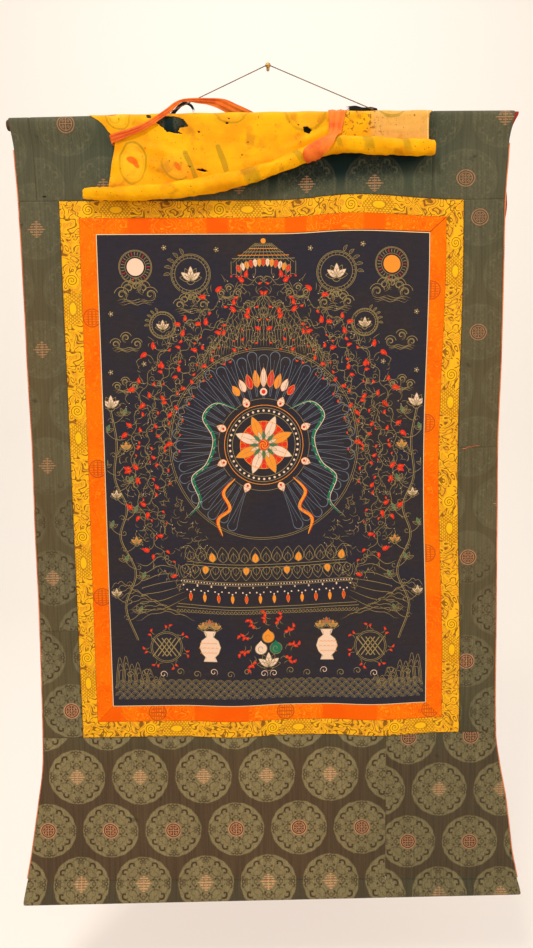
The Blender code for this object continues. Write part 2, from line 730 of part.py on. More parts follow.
def build_binding(material):
    """Thin corded binding down each side."""
    for name, side in (("binding_left", -1), ("binding_right", 1)):
        outer, inner = [], []
        for drop in edge_drops(side):
            across = edge(side, drop)
            middle = cloth_out(across, drop) - CLOTH_THICK / 2
            near = across - side * PIPING_WIDTH
            for line, level in ((outer, middle + PIPING_THICK / 2), (inner, middle - PIPING_THICK / 2)):
                line.append([place(across, drop, level), place(near, drop, level)])
        shell(name, outer, inner, material)


def ring_faces(k, sides):
    """Faces from one ring of points to the next."""
    start, ahead = k * sides, (k + 1) * sides
    return [[start + j, start + (j + 1) % sides, ahead + (j + 1) % sides, ahead + j] for j in range(sides)]


def end_faces(count, sides):
    """Flat faces over the first and the last ring of points."""
    return [list(range(sides)), [count - sides + j for j in range(sides)]]


def tube(name, centres, radii, sides, material):
    """Closed tube of round sections that stay upright to its path, with flat ends."""
    points, faces = [], []
    for k, (centre, radius) in enumerate(zip(centres, radii)):
        ahead = centres[min(k + 1, len(centres) - 1)] - centres[max(k - 1, 0)]
        along = ahead.normalized()
        front = Vector((0.0, -1.0, 0.0))
        front = (front - along * front.dot(along)).normalized()
        up = front.cross(along)
        if up.z < 0:
            up = -up
        for j in range(sides):
            turn = 2 * math.pi * j / sides
            points.append(centre + radius * (math.cos(turn) * front + math.sin(turn) * up))
    for k in range(len(centres) - 1):
        faces += ring_faces(k, sides)
    faces += end_faces(len(points), sides)
    return add_mesh(name, points, faces, material)


def build_rods(material):
    """Bowed top rod and straight bottom rod."""
    across = [lerp(TOP_ROD_LEFT, TOP_ROD_RIGHT, k / ROD_STEPS) for k in range(ROD_STEPS + 1)]
    centres = [place(a, top_drop(a) + TOP_ROD_DROP, TOP_ROD_OUT) for a in across]
    tube("top_rod", centres, [TOP_ROD_RADIUS] * len(centres), ROD_SIDES, material)
    ends = [place(a, bottom_drop(a) - BOTTOM_SLEEVE_RADIUS, BOTTOM_ROD_OUT)
            for a in (BOTTOM_ROD_LEFT, BOTTOM_ROD_RIGHT)]
    tube("bottom_rod", ends, [BOTTOM_ROD_RADIUS] * 2, ROD_SIDES, material)


def sleeve_point(across, angle, clearance):
    """Place around the top sleeve, at an angle up from its front."""
    reach = TOP_SLEEVE_RADIUS + clearance
    return (across, top_drop(across) + TOP_ROD_DROP - reach * math.sin(angle),
            TOP_ROD_OUT + reach * math.cos(angle))


def roll_centre(across):
    """Drop, distance out and radius of the rolled part of the cover."""
    radius = through(column(ROLL, "across"), column(ROLL, "diameter"), across) / 2
    drop = through(column(ROLL, "across"), column(ROLL, "drop"), across)
    return drop, COVER_OUT + radius - COVER_THICK / 2, radius


def roll_point(across, angle, clearance):
    """Place around the roll, square to its slope, at an angle up from its front."""
    drop, out, radius = roll_centre(across)
    ahead = roll_centre(across + ROLL_SLOPE_STEP)[0]
    behind = roll_centre(across - ROLL_SLOPE_STEP)[0]
    slope = math.atan2(ahead - behind, 2 * ROLL_SLOPE_STEP)
    reach = radius + clearance
    up = reach * math.sin(angle)
    return across + up * math.sin(slope), drop - up * math.cos(slope), out + reach * math.cos(angle)


def crease_lift(across, drop):
    """Height of the slanting creases of the cover."""
    lift = 0.0
    for c in COVER_CREASES:
        length = math.hypot(c.run, c.fall)
        along = ((across - c.across) * c.run + (drop - c.drop) * c.fall) / length
        off = (-(across - c.across) * c.fall + (drop - c.drop) * c.run) / length
        lift += c.lift * bell(off / c.half_width) * bell(along / length)
    return lift


def cover_side(table, drop):
    """Side edge of the cover at a drop."""
    return through(column(table, "drop"), column(table, "across"), drop)


def cover_grid():
    """Centre line points of the cover's hanging part, with the direction to its front."""
    left_end, right_end = roll_centre(COVER_LEFT[-1].across)[0], roll_centre(COVER_RIGHT[-1].across)[0]
    reach = COVER_OUT - TOP_ROD_OUT
    rows = []
    for j in range(COVER_ARC_ROWS + COVER_ROWS + 1):
        row = []
        for i in range(COVER_COLUMNS + 1):
            s = i / COVER_COLUMNS
            if j < COVER_ARC_ROWS:
                angle = COVER_START_ANGLE * (1 - j / COVER_ARC_ROWS)
                height = TOP_ROD_DROP - reach * math.sin(angle)
                level = max(height, 0.0)
                across = lerp(cover_side(COVER_LEFT, level), cover_side(COVER_RIGHT, level), s)
                drop = top_drop(across) + height
                row.append((across, drop, TOP_ROD_OUT + reach * math.cos(angle),
                            (math.cos(angle), math.sin(angle))))
            else:
                t = (j - COVER_ARC_ROWS) / COVER_ROWS
                left_drop, right_drop = lerp(TOP_ROD_DROP, left_end, t), lerp(TOP_ROD_DROP, right_end, t)
                across = lerp(cover_side(COVER_LEFT, left_drop), cover_side(COVER_RIGHT, right_drop), s)
                start = top_drop(across) + TOP_ROD_DROP
                drop = lerp(start, roll_centre(across)[0], t)
                fade = smooth(3 * t) * (1 - smooth(4 * t - 3))
                out = COVER_OUT + crease_lift(across, drop) * fade + ROLL_BITE * smooth(5 * t - 4)
                row.append((across, drop, out, (1.0, 0.0)))
        rows.append(row)
    return rows


def guide(piece):
    """Mark a helper that another piece is joined to or cut by."""
    piece.hide_render = True
    piece.display_type = "WIRE"
    return piece


def combine(piece, helper, operation):
    """Join a helper to a piece, or cut it away."""
    modifier = piece.modifiers.new(operation.title(), "BOOLEAN")
    modifier.operation = operation
    modifier.object = guide(helper)


def build_cover(material):
    """Silk cover: a torn sheet over the heading, wound up into a roll along its lower edge."""
    half = COVER_THICK / 2
    grid = cover_grid()
    front = [[place(a, d - n[1] * half, o + n[0] * half) for a, d, o, n in row] for row in grid]
    back = [[place(a, d + n[1] * half, o - n[0] * half) for a, d, o, n in row] for row in grid]
    cover = shell("dust_cover", front, back, material)
    across = [lerp(ROLL[0].across, ROLL[-1].across, k / ROLL_STATIONS) for k in range(ROLL_STATIONS + 1)]
    stations = [roll_centre(a) for a in across]
    centres = [place(a, drop, out) for a, (drop, out, _) in zip(across, stations)]
    roll = tube("roll_guide", centres, [radius for _, _, radius in stations], ROLL_SIDES, material)
    combine(cover, roll, "UNION")
    for k, tear in enumerate(TEARS):
        near = [place(a, d, COVER_OUT + TEAR_REACH) for a, d in tear.points]
        far = [place(a, d, COVER_OUT - TEAR_REACH) for a, d in tear.points]
        count = len(near)
        faces = [list(range(count)), list(range(count, 2 * count))]
        faces += [[j, (j + 1) % count, (j + 1) % count + count, j + count] for j in range(count)]
        cutter = add_mesh(f"tear_guide_{k}", near + far, faces, material)
        combine(cover, cutter, "DIFFERENCE")


def band_points(rows, steps):
    """Two edges of a band, smoothed between its rows."""
    keys = list(range(len(rows)))

    def read(edge_of, x):
        return tuple(through(keys, [edge_of(row)[k] for row in rows], x) for k in range(3))

    places = [k / steps for k in range((len(rows) - 1) * steps + 1)]
    return [(place(*read(lambda r: r.edge_a, x)), place(*read(lambda r: r.edge_b, x))) for x in places]


def band(name, rows, thickness, material, steps=SMOOTH_STEPS):
    """Flat ribbon that follows its two edges."""
    edges = band_points(rows, steps)
    upper, lower = [], []
    for k, (a, b) in enumerate(edges):
        before, after = edges[max(k - 1, 0)], edges[min(k + 1, len(edges) - 1)]
        along = (after[0] + after[1]) - (before[0] + before[1])
        face = along.cross(b - a).normalized() * thickness / 2
        upper.append([a + face, b + face])
        lower.append([a - face, b - face])
    return shell(name, upper, lower, material)


def wrap_row(wrap, point_at, clearance):
    """Row of a band that lies round the sleeve or the roll."""
    angle = math.radians(wrap.angle)
    return Band(point_at(wrap.across_a, angle, clearance), point_at(wrap.across_b, angle, clearance))


def build_ribbons(material):
    """Two cover ribbons: the left one arches over the top edge, the right one holds the roll."""
    rows = [wrap_row(LEFT_RIBBON_ROOT, sleeve_point, ROOT_CLEARANCE)]
    rows[0] = Band(rows[0].edge_b, rows[0].edge_a)
    band("ribbon_left", rows + list(LEFT_RIBBON), RIBBON_THICK, material)
    rows = [wrap_row(w, sleeve_point, SLEEVE_WRAP_CLEARANCE) for w in RIGHT_RIBBON_TOP]
    rows += RIGHT_RIBBON_HANG
    rows += [wrap_row(w, roll_point, WRAP_CLEARANCE) for w in RIGHT_RIBBON_WRAP]
    band("ribbon_right", rows, RIBBON_THICK, material)


def build_ties(material):
    """Dark ties round the top sleeve, each with one loose tail."""
    clearance = SLEEVE_GAP + TIE_THICK / 2
    for name, middle, tail in (("tie_left", TIE_LEFT_ACROSS, LEFT_TAIL),
                               ("tie_right", TIE_RIGHT_ACROSS, RIGHT_TAIL)):
        rows = []
        for k in range(TIE_BAND_STEPS + 1):
            angle = lerp(TIE_BAND_START, TIE_BAND_END, k / TIE_BAND_STEPS)
            rows.append(Band(sleeve_point(middle - TIE_BAND_WIDTH / 2, angle, clearance),
                             sleeve_point(middle + TIE_BAND_WIDTH / 2, angle, clearance)))
        wrap = band(name, rows, TIE_THICK, material, steps=1)
        combine(wrap, band(f"{name}_tail_guide", tail, TIE_THICK, material), "UNION")


def cord_route():
    """Centre line of the taut cord: left tie, over the nail's shank, right tie."""
    radius = NAIL_SHANK_RADIUS + CORD_DIAMETER / 2 + CORD_CLEARANCE

    def tangent(end, side):
        run, fall = (end[0] - NAIL_ACROSS) * side, end[1] - NAIL_DROP
        lean = math.atan2(fall, run) + math.asin(radius / math.hypot(run, fall))
        return math.pi / 2 - side * lean

    start, stop = tangent(CORD_LEFT_END, -1), tangent(CORD_RIGHT_END, 1)
    route = [CORD_LEFT_END]
    for k in range(CORD_ARC_STEPS + 1):
        angle = lerp(start, stop, k / CORD_ARC_STEPS)
        route.append((NAIL_ACROSS + radius * math.cos(angle), NAIL_DROP - radius * math.sin(angle),
                      CORD_ON_NAIL_OUT))
    route.append(CORD_RIGHT_END)
    return route


def even_points(route, count):
    """Points at even spacing along a route."""
    spans = [math.dist(a, b) for a, b in zip(route, route[1:])]
    total = sum(spans)
    points = []
    for k in range(count):
        left = total * k / (count - 1)
        i = 0
        while i < len(spans) - 1 and left > spans[i]:
            left -= spans[i]
            i += 1
        t = min(left / spans[i], 1.0)
        points.append(tuple(lerp(a, b, t) for a, b in zip(route[i], route[i + 1])))
    return points


def build_cord(material):
    """Hanging cord, taut from tie to tie over the nail."""
    curve = bpy.data.curves.new("hanging_cord", "CURVE")
    curve.dimensions = "3D"
    curve.bevel_depth = CORD_DIAMETER / 2
    curve.bevel_resolution = 2
    curve.use_fill_caps = True
    curve.resolution_u = 1
    curve.render_resolution_u = 0
    spline = curve.splines.new("POLY")
    points = even_points(cord_route(), CORD_POINTS)
    spline.points.add(len(points) - 1)
    for slot, point in zip(spline.points, points):
        slot.co = (*place(*point), 1.0)
    curve.materials.append(material)
    cord = bpy.data.objects.new("hanging_cord", curve)
    bpy.context.scene.collection.objects.link(cord)


def build_nail(material):
    """Round nail: a plain shank out of the wall and a low domed head."""
    head_start = NAIL_LENGTH - NAIL_HEAD_THICK
    profile = [(0.0, NAIL_SHANK_RADIUS), (head_start, NAIL_SHANK_RADIUS), (head_start, NAIL_HEAD_RADIUS),
               (head_start + 0.5 * NAIL_HEAD_THICK, NAIL_HEAD_RADIUS),
               (NAIL_LENGTH, 0.62 * NAIL_HEAD_RADIUS)]
    points, faces = [], []
    for out, radius in profile:
        for j in range(NAIL_SIDES):
            turn = 2 * math.pi * j / NAIL_SIDES
            points.append(place(NAIL_ACROSS + radius * math.cos(turn),
                                NAIL_DROP - radius * math.sin(turn), out))
    for k in range(len(profile) - 1):
        faces += ring_faces(k, NAIL_SIDES)
    faces += end_faces(len(points), NAIL_SIDES)
    add_mesh("wall_nail", points, faces, material)


def main():
    """Clear the scene and build every piece."""
    for item in list(bpy.data.objects):
        bpy.data.objects.remove(item, do_unlink=True)
    brocade = finish("green_brocade", (0.085, 0.075, 0.045), 0.75)
    yellow = finish("yellow_brocade", (0.85, 0.42, 0.03), 0.6)
    orange = finish("orange_brocade", (0.87, 0.15, 0.01), 0.6)
    canvas = finish("painted_canvas", (0.028, 0.022, 0.03), 0.8)
    red = finish("red_lining", (0.35, 0.03, 0.02), 0.8)
    piping = finish("edge_binding", (0.75, 0.20, 0.08), 0.7)
    silk = finish("cover_silk", (0.85, 0.45, 0.02), 0.5)
    ribbon = finish("orange_ribbon", (0.80, 0.20, 0.03), 0.6)
    black = finish("dark_tie", (0.015, 0.014, 0.013), 0.8)
    twine = finish("brown_cord", (0.20, 0.12, 0.07), 0.8)
    wood = finish("rod_wood", (0.10, 0.05, 0.03), 0.6)
    brass = finish("nail_brass", (0.45, 0.28, 0.12), 0.4, 1.0)

    build_brocade(brocade)
    build_borders(yellow, orange)
    flat_cloth("picture", picture_grid(), canvas)
    build_lining(red)
    build_binding(piping)
    build_rods(wood)
    build_cover(silk)
    build_ribbons(ribbon)
    build_ties(black)
    build_cord(twine)
    build_nail(brass)


main()
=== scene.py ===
"""Thangka scroll painting: the looks of every piece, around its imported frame.

Lengths are metres. A place on the scroll has three numbers: its distance across from the
centre line (right is positive), its drop below the middle of the top edge, and how far it
stands out from the wall. The front faces -Y and +Z is up. Cloth coordinates are metres
along a cut piece, and carry its woven pattern.
"""

from __future__ import annotations

import logging
import random
from dataclasses import dataclass
from enum import Enum
from math import acos, asin, atan2, cos, dist, hypot, pi, radians, sin, tau
from typing import Any, Callable, NamedTuple, Sequence, Union

import bmesh
import bpy
from mathutils import Matrix, Vector


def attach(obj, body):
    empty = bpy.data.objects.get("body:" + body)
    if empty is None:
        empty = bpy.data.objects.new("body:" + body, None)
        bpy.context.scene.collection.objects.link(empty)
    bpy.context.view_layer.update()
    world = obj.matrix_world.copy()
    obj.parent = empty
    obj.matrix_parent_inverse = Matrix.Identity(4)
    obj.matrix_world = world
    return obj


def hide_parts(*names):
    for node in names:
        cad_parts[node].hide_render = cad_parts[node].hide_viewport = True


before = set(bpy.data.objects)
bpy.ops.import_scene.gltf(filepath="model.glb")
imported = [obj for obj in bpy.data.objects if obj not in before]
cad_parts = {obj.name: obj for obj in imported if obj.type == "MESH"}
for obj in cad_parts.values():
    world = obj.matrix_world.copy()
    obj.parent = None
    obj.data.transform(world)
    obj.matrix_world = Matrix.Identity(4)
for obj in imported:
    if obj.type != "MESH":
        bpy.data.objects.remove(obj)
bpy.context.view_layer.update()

LOG = logging.getLogger("scroll")

Material = bpy.types.Material
Piece = bpy.types.Object
Pair = tuple[float, float]
Triple = tuple[float, float, float]
Colour = tuple[float, float, float]
Grid = list[list[Vector]]


def lerp(a: float, b: float, t: float) -> float:
    """Value a share t of the way from a to b."""
    return a + (b - a) * t


def bell(x: float) -> float:
    """Smooth bump that is 1 at 0 and 0 from 1 outward."""
    return 0.5 * (1 + cos(pi * x)) if abs(x) < 1 else 0.0


def smooth(t: float) -> float:
    """Soft step from 0 to 1."""
    t = min(max(t, 0.0), 1.0)
    return t * t * (3 - 2 * t)


def through(keys: Sequence[float], values: Sequence[float], x: float) -> float:
    """Value at x of the smooth curve through the points of a table."""
    last = len(keys) - 1
    i = next((k for k in range(last) if x <= keys[k + 1]), last - 1)

    def slope(k: int) -> float:
        """Slope of the table at one of its points."""
        a, b = max(k - 1, 0), min(k + 1, last)
        return (values[b] - values[a]) / (keys[b] - keys[a])

    span = keys[i + 1] - keys[i]
    t = min(max((x - keys[i]) / span, 0.0), 1.0)
    return (lerp(values[i], values[i + 1], t * t * (3 - 2 * t))
            + span * (slope(i) * t * (1 - t) ** 2 - slope(i + 1) * t * t * (1 - t)))


def column(table: Sequence[Any], name: str) -> list[float]:
    """One named column of a table."""
    return [getattr(row, name) for row in table]


def seen(red: float, green: float, blue: float) -> Colour:
    """Linear colour of one as seen, its parts from 0 to 255."""
    return tuple((c / 255 / 12.92) if c <= 10 else ((c / 255 + 0.055) / 1.055) ** 2.4
            for c in (red, green, blue))


def arc_length(line: Sequence[Sequence[float]]) -> float:
    """Length of a line of points."""
    return sum(dist(a, b) for a, b in zip(line, line[1:]))


class Socket:
    """A shader value: the usual operators add the nodes that work out a new one."""

    def __init__(self, graph: Graph, link: bpy.types.NodeSocket) -> None:
        """Wrap an output socket of a node in a graph."""
        self.graph = graph
        self.link = link

    def math(self, operation: str, *others: Value) -> Socket:
        """This value, put through a Math node with others."""
        return self.graph.math(operation, self, *others)

    def __add__(self, other: Value) -> Socket:
        """Sum."""
        return self.math("ADD", other)

    __radd__ = __add__

    def __sub__(self, other: Value) -> Socket:
        """Difference."""
        return self.math("SUBTRACT", other)

    def __rsub__(self, other: Value) -> Socket:
        """Difference from a number."""
        return self.graph.math("SUBTRACT", other, self)

    def __mul__(self, other: Value) -> Socket:
        """Product."""
        return self.math("MULTIPLY", other)

    __rmul__ = __mul__

    def __truediv__(self, other: Value) -> Socket:
        """Quotient."""
        return self.math("DIVIDE", other)

    def __abs__(self) -> Socket:
        """Size without sign."""
        return self.math("ABSOLUTE")

    def __lt__(self, other: Value) -> Socket:
        """1 where this value is less."""
        return self.math("LESS_THAN", other)

    def __gt__(self, other: Value) -> Socket:
        """1 where this value is greater."""
        return self.math("GREATER_THAN", other)

    def low(self, other: Value) -> Socket:
        """The lesser of two values."""
        return self.math("MINIMUM", other)

    def high(self, other: Value) -> Socket:
        """The greater of two values."""
        return self.math("MAXIMUM", other)

    def sin(self) -> Socket:
        """Sine."""
        return self.math("SINE")

    def fraction(self) -> Socket:
        """Part after the whole number below."""
        return self.math("FRACT")

    def nearest(self) -> Socket:
        """Nearest whole number."""
        return (self + 0.5).math("FLOOR")

    def step(self, start: float, end: float) -> Socket:
        """Soft step from 0 at start to 1 at end, which may lie below it."""
        made = self.graph.node(
            "ShaderNodeMapRange", {"interpolation_type": "SMOOTHSTEP"},
            {"Value": self, "From Min": min(start, end), "From Max": max(start, end),
             "To Min": 0.0 if start < end else 1.0, "To Max": 1.0 if start < end else 0.0})
        return Socket(self.graph, made.outputs["Result"])


Value = Union[float, Socket]


class Graph:
    """The nodes of one material."""

    def __init__(self, name: str) -> None:
        """Start an empty material."""
        self.material = bpy.data.materials.new(name)
        self.material.use_nodes = True
        self.nodes = self.material.node_tree.nodes
        self.nodes.clear()

    def node(self, kind: str, settings: dict[str, Any] | None = None,
            sockets: dict[Any, Any] | None = None) -> bpy.types.Node:
        """Add a node.

        Args:
            kind: The node's type.
            settings: Its own values, set first.
            sockets: Values or links by socket name, number or identifier.

        Returns:
            The node.
        """
        made = self.nodes.new(kind)
        for name, value in (settings or {}).items():
            setattr(made, name, value)
        for key, value in (sockets or {}).items():
            slot = made.inputs[key] if isinstance(key, int) or key in made.inputs else None
            slot = slot or next(s for s in made.inputs if s.identifier == key)
            if isinstance(value, Socket):
                self.material.node_tree.links.new(value.link, slot)
            else:
                slot.default_value = value
        return made

    def math(self, operation: str, *values: Value) -> Socket:
        """Result of a Math node."""
        made = self.node("ShaderNodeMath", {"operation": operation}, dict(enumerate(values)))
        return Socket(self, made.outputs[0])

    def cloth(self) -> tuple[Socket, Socket]:
        """The two cloth coordinates, in metres."""
        made = self.node("ShaderNodeUVMap", {"uv_map": "cloth"})
        return self.parts(Socket(self, made.outputs["UV"]))[:2]

    def place(self) -> tuple[Socket, Socket, Socket]:
        """The three coordinates in the piece's own frame."""
        made = self.node("ShaderNodeTexCoord")
        return self.parts(Socket(self, made.outputs["Object"]))

    def parts(self, vector: Socket) -> tuple[Socket, Socket, Socket]:
        """Parts of a vector."""
        made = self.node("ShaderNodeSeparateXYZ", None, {0: vector})
        return tuple(Socket(self, out) for out in made.outputs)

    def vector(self, x: Value, y: Value, z: Value = 0.0) -> Socket:
        """Vector of three values."""
        made = self.node("ShaderNodeCombineXYZ", None, {0: x, 1: y, 2: z})
        return Socket(self, made.outputs[0])

    def noise(self, where: Socket, scale: float, detail: float = 2.0, distortion: float = 0.0) -> Socket:
        """Noise value from 0 to 1 around 0.5."""
        made = self.node("ShaderNodeTexNoise", None,
                {"Vector": where, "Scale": scale, "Detail": detail, "Distortion": distortion})
        return Socket(self, made.outputs["Fac"])

    def mix(self, first: Colour | Socket, second: Colour | Socket, share: Value) -> Socket:
        """Colour a share of the way from the first to the second."""
        first, second = ((*c, 1.0) if isinstance(c, tuple) else c for c in (first, second))
        made = self.node("ShaderNodeMix", {"data_type": "RGBA"},
                {"Factor_Float": share, "A_Color": first, "B_Color": second})
        return Socket(self, made.outputs[2])

    def distance(self, where: Socket, centre: Triple) -> Socket:
        """Distance from a point."""
        made = self.node("ShaderNodeVectorMath", {"operation": "DISTANCE"}, {0: where, 1: centre})
        return Socket(self, made.outputs["Value"])

    def rings(self, where: Socket, table: Sequence[Ring]) -> Socket:
        """Strongest line of a table of rings."""
        reach = self.distance(where, (0.0, 0.0, 0.0))
        lines = []
        for ring in table:
            away = abs(self.distance(where, (ring.p, ring.q, 0.0)) - ring.radius)
            line = away.step(ring.width, ring.width * 0.4) * ring.depth
            if ring.half:
                edge = hypot(ring.p, ring.q)
                line = line * reach.step(edge - 0.02 * ring.half, edge + 0.02 * ring.half)
            lines.append(line)
        made = lines[0]
        for line in lines[1:]:
            made = made.high(line)
        return made

    def shade(self, colour: Socket, share: Socket) -> Socket:
        """Colour scaled by a value."""
        made = self.node("ShaderNodeVectorMath", {"operation": "SCALE"}, {0: colour, "Scale": share})
        return Socket(self, made.outputs["Vector"])

    def bump(self, height: Socket, distance: float, strength: float = 1.0) -> Socket:
        """Normal raised by a height from 0 to 1."""
        made = self.node("ShaderNodeBump", None,
                {"Strength": strength, "Distance": distance, "Height": height})
        return Socket(self, made.outputs["Normal"])

    def finish(self, colour: Colour | Socket, roughness: Value, normal: Socket | None = None,
            alpha: Value = 1.0, metallic: Value = 0.0, sheen: float = 0.0,
            specular: float = 0.18) -> Material:
        """Close the material with its surface shader.

        Args:
            colour: Base colour.
            roughness: Roughness.
            normal: Bumped normal.
            alpha: Opacity.
            metallic: Share of metal.
            sheen: Weight of the cloth's soft sheen.
            specular: Strength of the plain reflection.

        Returns:
            The material.
        """
        sockets = {"Base Color": (*colour, 1.0) if isinstance(colour, tuple) else colour,
                "Roughness": roughness, "Alpha": alpha, "Metallic": metallic,
                "Sheen Weight": sheen, "Sheen Roughness": 0.4, "Specular IOR Level": specular}
        if normal is not None:
            sockets["Normal"] = normal
        shader = self.node("ShaderNodeBsdfPrincipled", None, sockets)
        self.node("ShaderNodeOutputMaterial", None, {"Surface": Socket(self, shader.outputs[0])})
        return self.material

    def weave(self, u: Socket, v: Socket, pitch: float, rib: float = 0.5) -> Socket:
        """Height of a plain weave, its warp a share rib stronger than its weft."""
        warp = (u * (tau / pitch)).sin()
        weft = (v * (tau / pitch)).sin()
        return warp * weft * (0.5 - 0.5 * rib) + warp * (0.5 * rib) + 0.5


class Edge(NamedTuple):
    """Outer edges of the hanging cloth at one drop."""

    drop: float
    left: float
    right: float


class Fold(NamedTuple):
    """Soft ridge of the cloth, or a hollow where its lift is negative."""

    across: float
    drop: float
    half_width: float
    half_height: float
    lift: float


class Crease(NamedTuple):
    """Narrow ridge or trough that runs from its middle both ways along run and fall."""

    across: float
    drop: float
    run: float
    fall: float
    half_width: float
    lift: float


class Drops(NamedTuple):
    """Drops of a frame's four corners."""

    left_top: float
    right_top: float
    left_low: float
    right_low: float


class Window(NamedTuple):
    """Corners of one of the nested frames round the picture."""

    left_top: float
    right_top: float
    left_low: float
    right_low: float
    drops: Drops
    rise: float
    draw_in: float


class Dip(NamedTuple):
    """Soft dip of the lower seam."""

    across: float
    half_width: float
    depth: float


@dataclass(frozen=True)
class Hang:
    """How the whole cloth hangs: its outline, folds, seams and layers."""

    nail_across: float = 0.014
    nail_drop: float = -0.087
    cloth_out: float = 0.0185
    cloth_thick: float = 0.0012
    lining_gap: float = 0.0012
    lining_thick: float = 0.001
    sleeve_gap: float = 0.0004
    seam_inset: float = 0.0002
    seam_dip: float = 0.0007
    seam_reach: float = 0.0022
    piping: float = 0.0028
    top_rod_radius: float = 0.01
    top_rod_out: float = 0.0155
    top_rod_left: float = -0.4785
    top_rod_right: float = 0.474
    top_bow: float = 0.003
    top_sleeve: float = 0.013
    lead_drop: float = 0.06
    flap_angle: float = radians(211)
    flap_length: float = 0.0245
    bottom_rod_radius: float = 0.012
    bottom_rod_out: float = 0.0185
    bottom_rod_left: float = -0.516
    bottom_rod_right: float = 0.508
    bottom_sleeve: float = 0.0136
    bottom: float = 1.58
    bottom_tilt: float = -0.0085
    stitch: float = 1.5365
    stitch_tilt: float = 0.0115
    hem_drop: float = 0.003
    half_span: float = 0.52
    rise_across: float = 0.175
    rise_left: float = 0.15
    rise_right: float = 0.21
    draw_in_drop: float = 0.66
    draw_in_reach: float = 0.42
    outline: tuple[Edge, ...] = tuple(Edge(*row) for row in (
        (0.000, -0.477, 0.4785), (0.022, -0.4728, 0.4742), (0.053, -0.4705, 0.4702),
        (0.091, -0.4685, 0.468), (0.155, -0.4661, 0.464), (0.348, -0.4641, 0.463), (0.479, -0.4641, 0.4612),
        (0.619, -0.4625, 0.4575), (0.778, -0.4645, 0.4593), (0.968, -0.465, 0.4618),
        (1.222, -0.4698, 0.4656), (1.29, -0.4742, 0.4752), (1.357, -0.4855, 0.4875),
        (1.478, -0.507, 0.5035), (1.536, -0.5188, 0.5157), (1.59, -0.5265, 0.525)))
    yellow: Window = Window(-0.387, 0.3831, -0.385, 0.3879, Drops(0.1518, 0.1599, 1.219, 1.2184), 0.01,
            0.0085)
    orange: Window = Window(-0.35, 0.3505, -0.3538, 0.3516, Drops(0.1838, 0.1919, 1.1858, 1.1857), 0.008,
            0.0115)
    picture: Window = Window(-0.3194, 0.3198, -0.3215, 0.3195, Drops(0.2137, 0.2192, 1.1533, 1.1542), 0.005,
            0.0085)
    dips: tuple[Dip, ...] = (Dip(0.236, 0.13, 0.007), Dip(-0.075, 0.12, 0.004))
    folds: tuple[Fold, ...] = tuple(Fold(*row) for row in (
        (0.185, 0.27, 0.13, 0.24, 0.0055), (0.236, 1.27, 0.12, 0.18, 0.0045),
        (-0.075, 1.28, 0.12, 0.18, 0.0035), (-0.29, 0.56, 0.15, 0.4, -0.0025),
        (-0.04, 0.68, 0.24, 0.46, 0.003), (0.4, 0.65, 0.14, 0.38, 0.004), (-0.43, 1.4, 0.16, 0.2, -0.003),
        (0.47, 1.43, 0.16, 0.18, 0.005), (0.07, 1.41, 0.15, 0.15, -0.0025),
        (-0.25, 1.39, 0.14, 0.17, 0.0032)))
    creases: tuple[Crease, ...] = tuple(Crease(*row) for row in (
        (0.15, 0.2, 0.06, -0.012, 0.016, 0.0012), (0.06, 0.196, 0.08, 0.006, 0.014, -0.0009),
        (0.255, 0.19, 0.05, 0.016, 0.013, -0.001), (-0.28, 0.175, 0.03, 0.014, 0.012, 0.0008),
        (0.372, 0.33, 0.004, 0.055, 0.012, 0.001), (0.366, 0.52, -0.004, 0.07, 0.013, -0.0009),
        (0.378, 0.77, 0.006, 0.06, 0.012, 0.001), (0.37, 1.01, -0.004, 0.08, 0.014, 0.0009),
        (-0.368, 0.42, 0.003, 0.09, 0.013, 0.0008), (-0.366, 0.83, -0.004, 0.1, 0.014, -0.0008),
        (0.115, 1.18, 0.06, 0.004, 0.013, -0.001), (-0.19, 1.182, 0.07, -0.004, 0.013, 0.0009),
        (0.29, 1.185, 0.045, -0.008, 0.012, 0.001), (-0.115, 1.345, 0.012, 0.075, 0.01, -0.0011),
        (-0.07, 1.33, 0.02, 0.06, 0.008, 0.0009), (0.012, 1.3, -0.01, 0.07, 0.01, 0.0008),
        (0.2, 1.33, 0.004, 0.09, 0.012, -0.0009), (-0.33, 1.43, -0.008, 0.09, 0.014, 0.0009),
        (0.33, 1.4, 0.006, 0.11, 0.012, -0.0009), (-0.44, 1.25, 0.03, 0.02, 0.012, -0.001),
        (0.44, 1.25, -0.03, 0.018, 0.012, -0.001), (-0.1, 0.42, 0.2, 0.006, 0.02, 0.0006),
        (0.08, 0.75, 0.22, -0.008, 0.022, -0.0006), (-0.06, 0.98, 0.23, 0.006, 0.02, 0.0006),
        (-0.435, 0.12, 0.006, 0.06, 0.012, -0.0009), (0.3, 0.11, 0.05, 0.03, 0.014, 0.001),
        (0.02, 0.142, 0.09, -0.006, 0.01, -0.0009)))
    heading_seam_left: float = 0.45
    heading_seam_right: float = 0.921
    lower_seam: float = 0.805
    left_seam: float = 0.788
    right_seam: float = 0.446

    def place(self, across: float, drop: float, out: float) -> Vector:
        """World point of a place on the scroll."""
        return Vector((across - self.nail_across, -out, self.nail_drop - drop))

    def edge(self, side: int, drop: float) -> float:
        """Outer edge at a drop, on the left (-1) or the right (1)."""
        return through(column(self.outline, "drop"), column(self.outline, "left" if side < 0 else "right"),
                drop)

    def cloth_edge(self, side: int, drop: float) -> float:
        """Edge of the brocade, inside the binding."""
        return self.edge(side, drop) - side * self.piping

    def front(self, across: float, drop: float) -> float:
        """How far the front face of the cloth stands out, its creases included."""
        lift = sum(f.lift * bell((across - f.across) / f.half_width) * bell((drop - f.drop) / f.half_height)
                for f in self.folds)
        return self.cloth_out + lift + ridges(self.creases, across, drop)

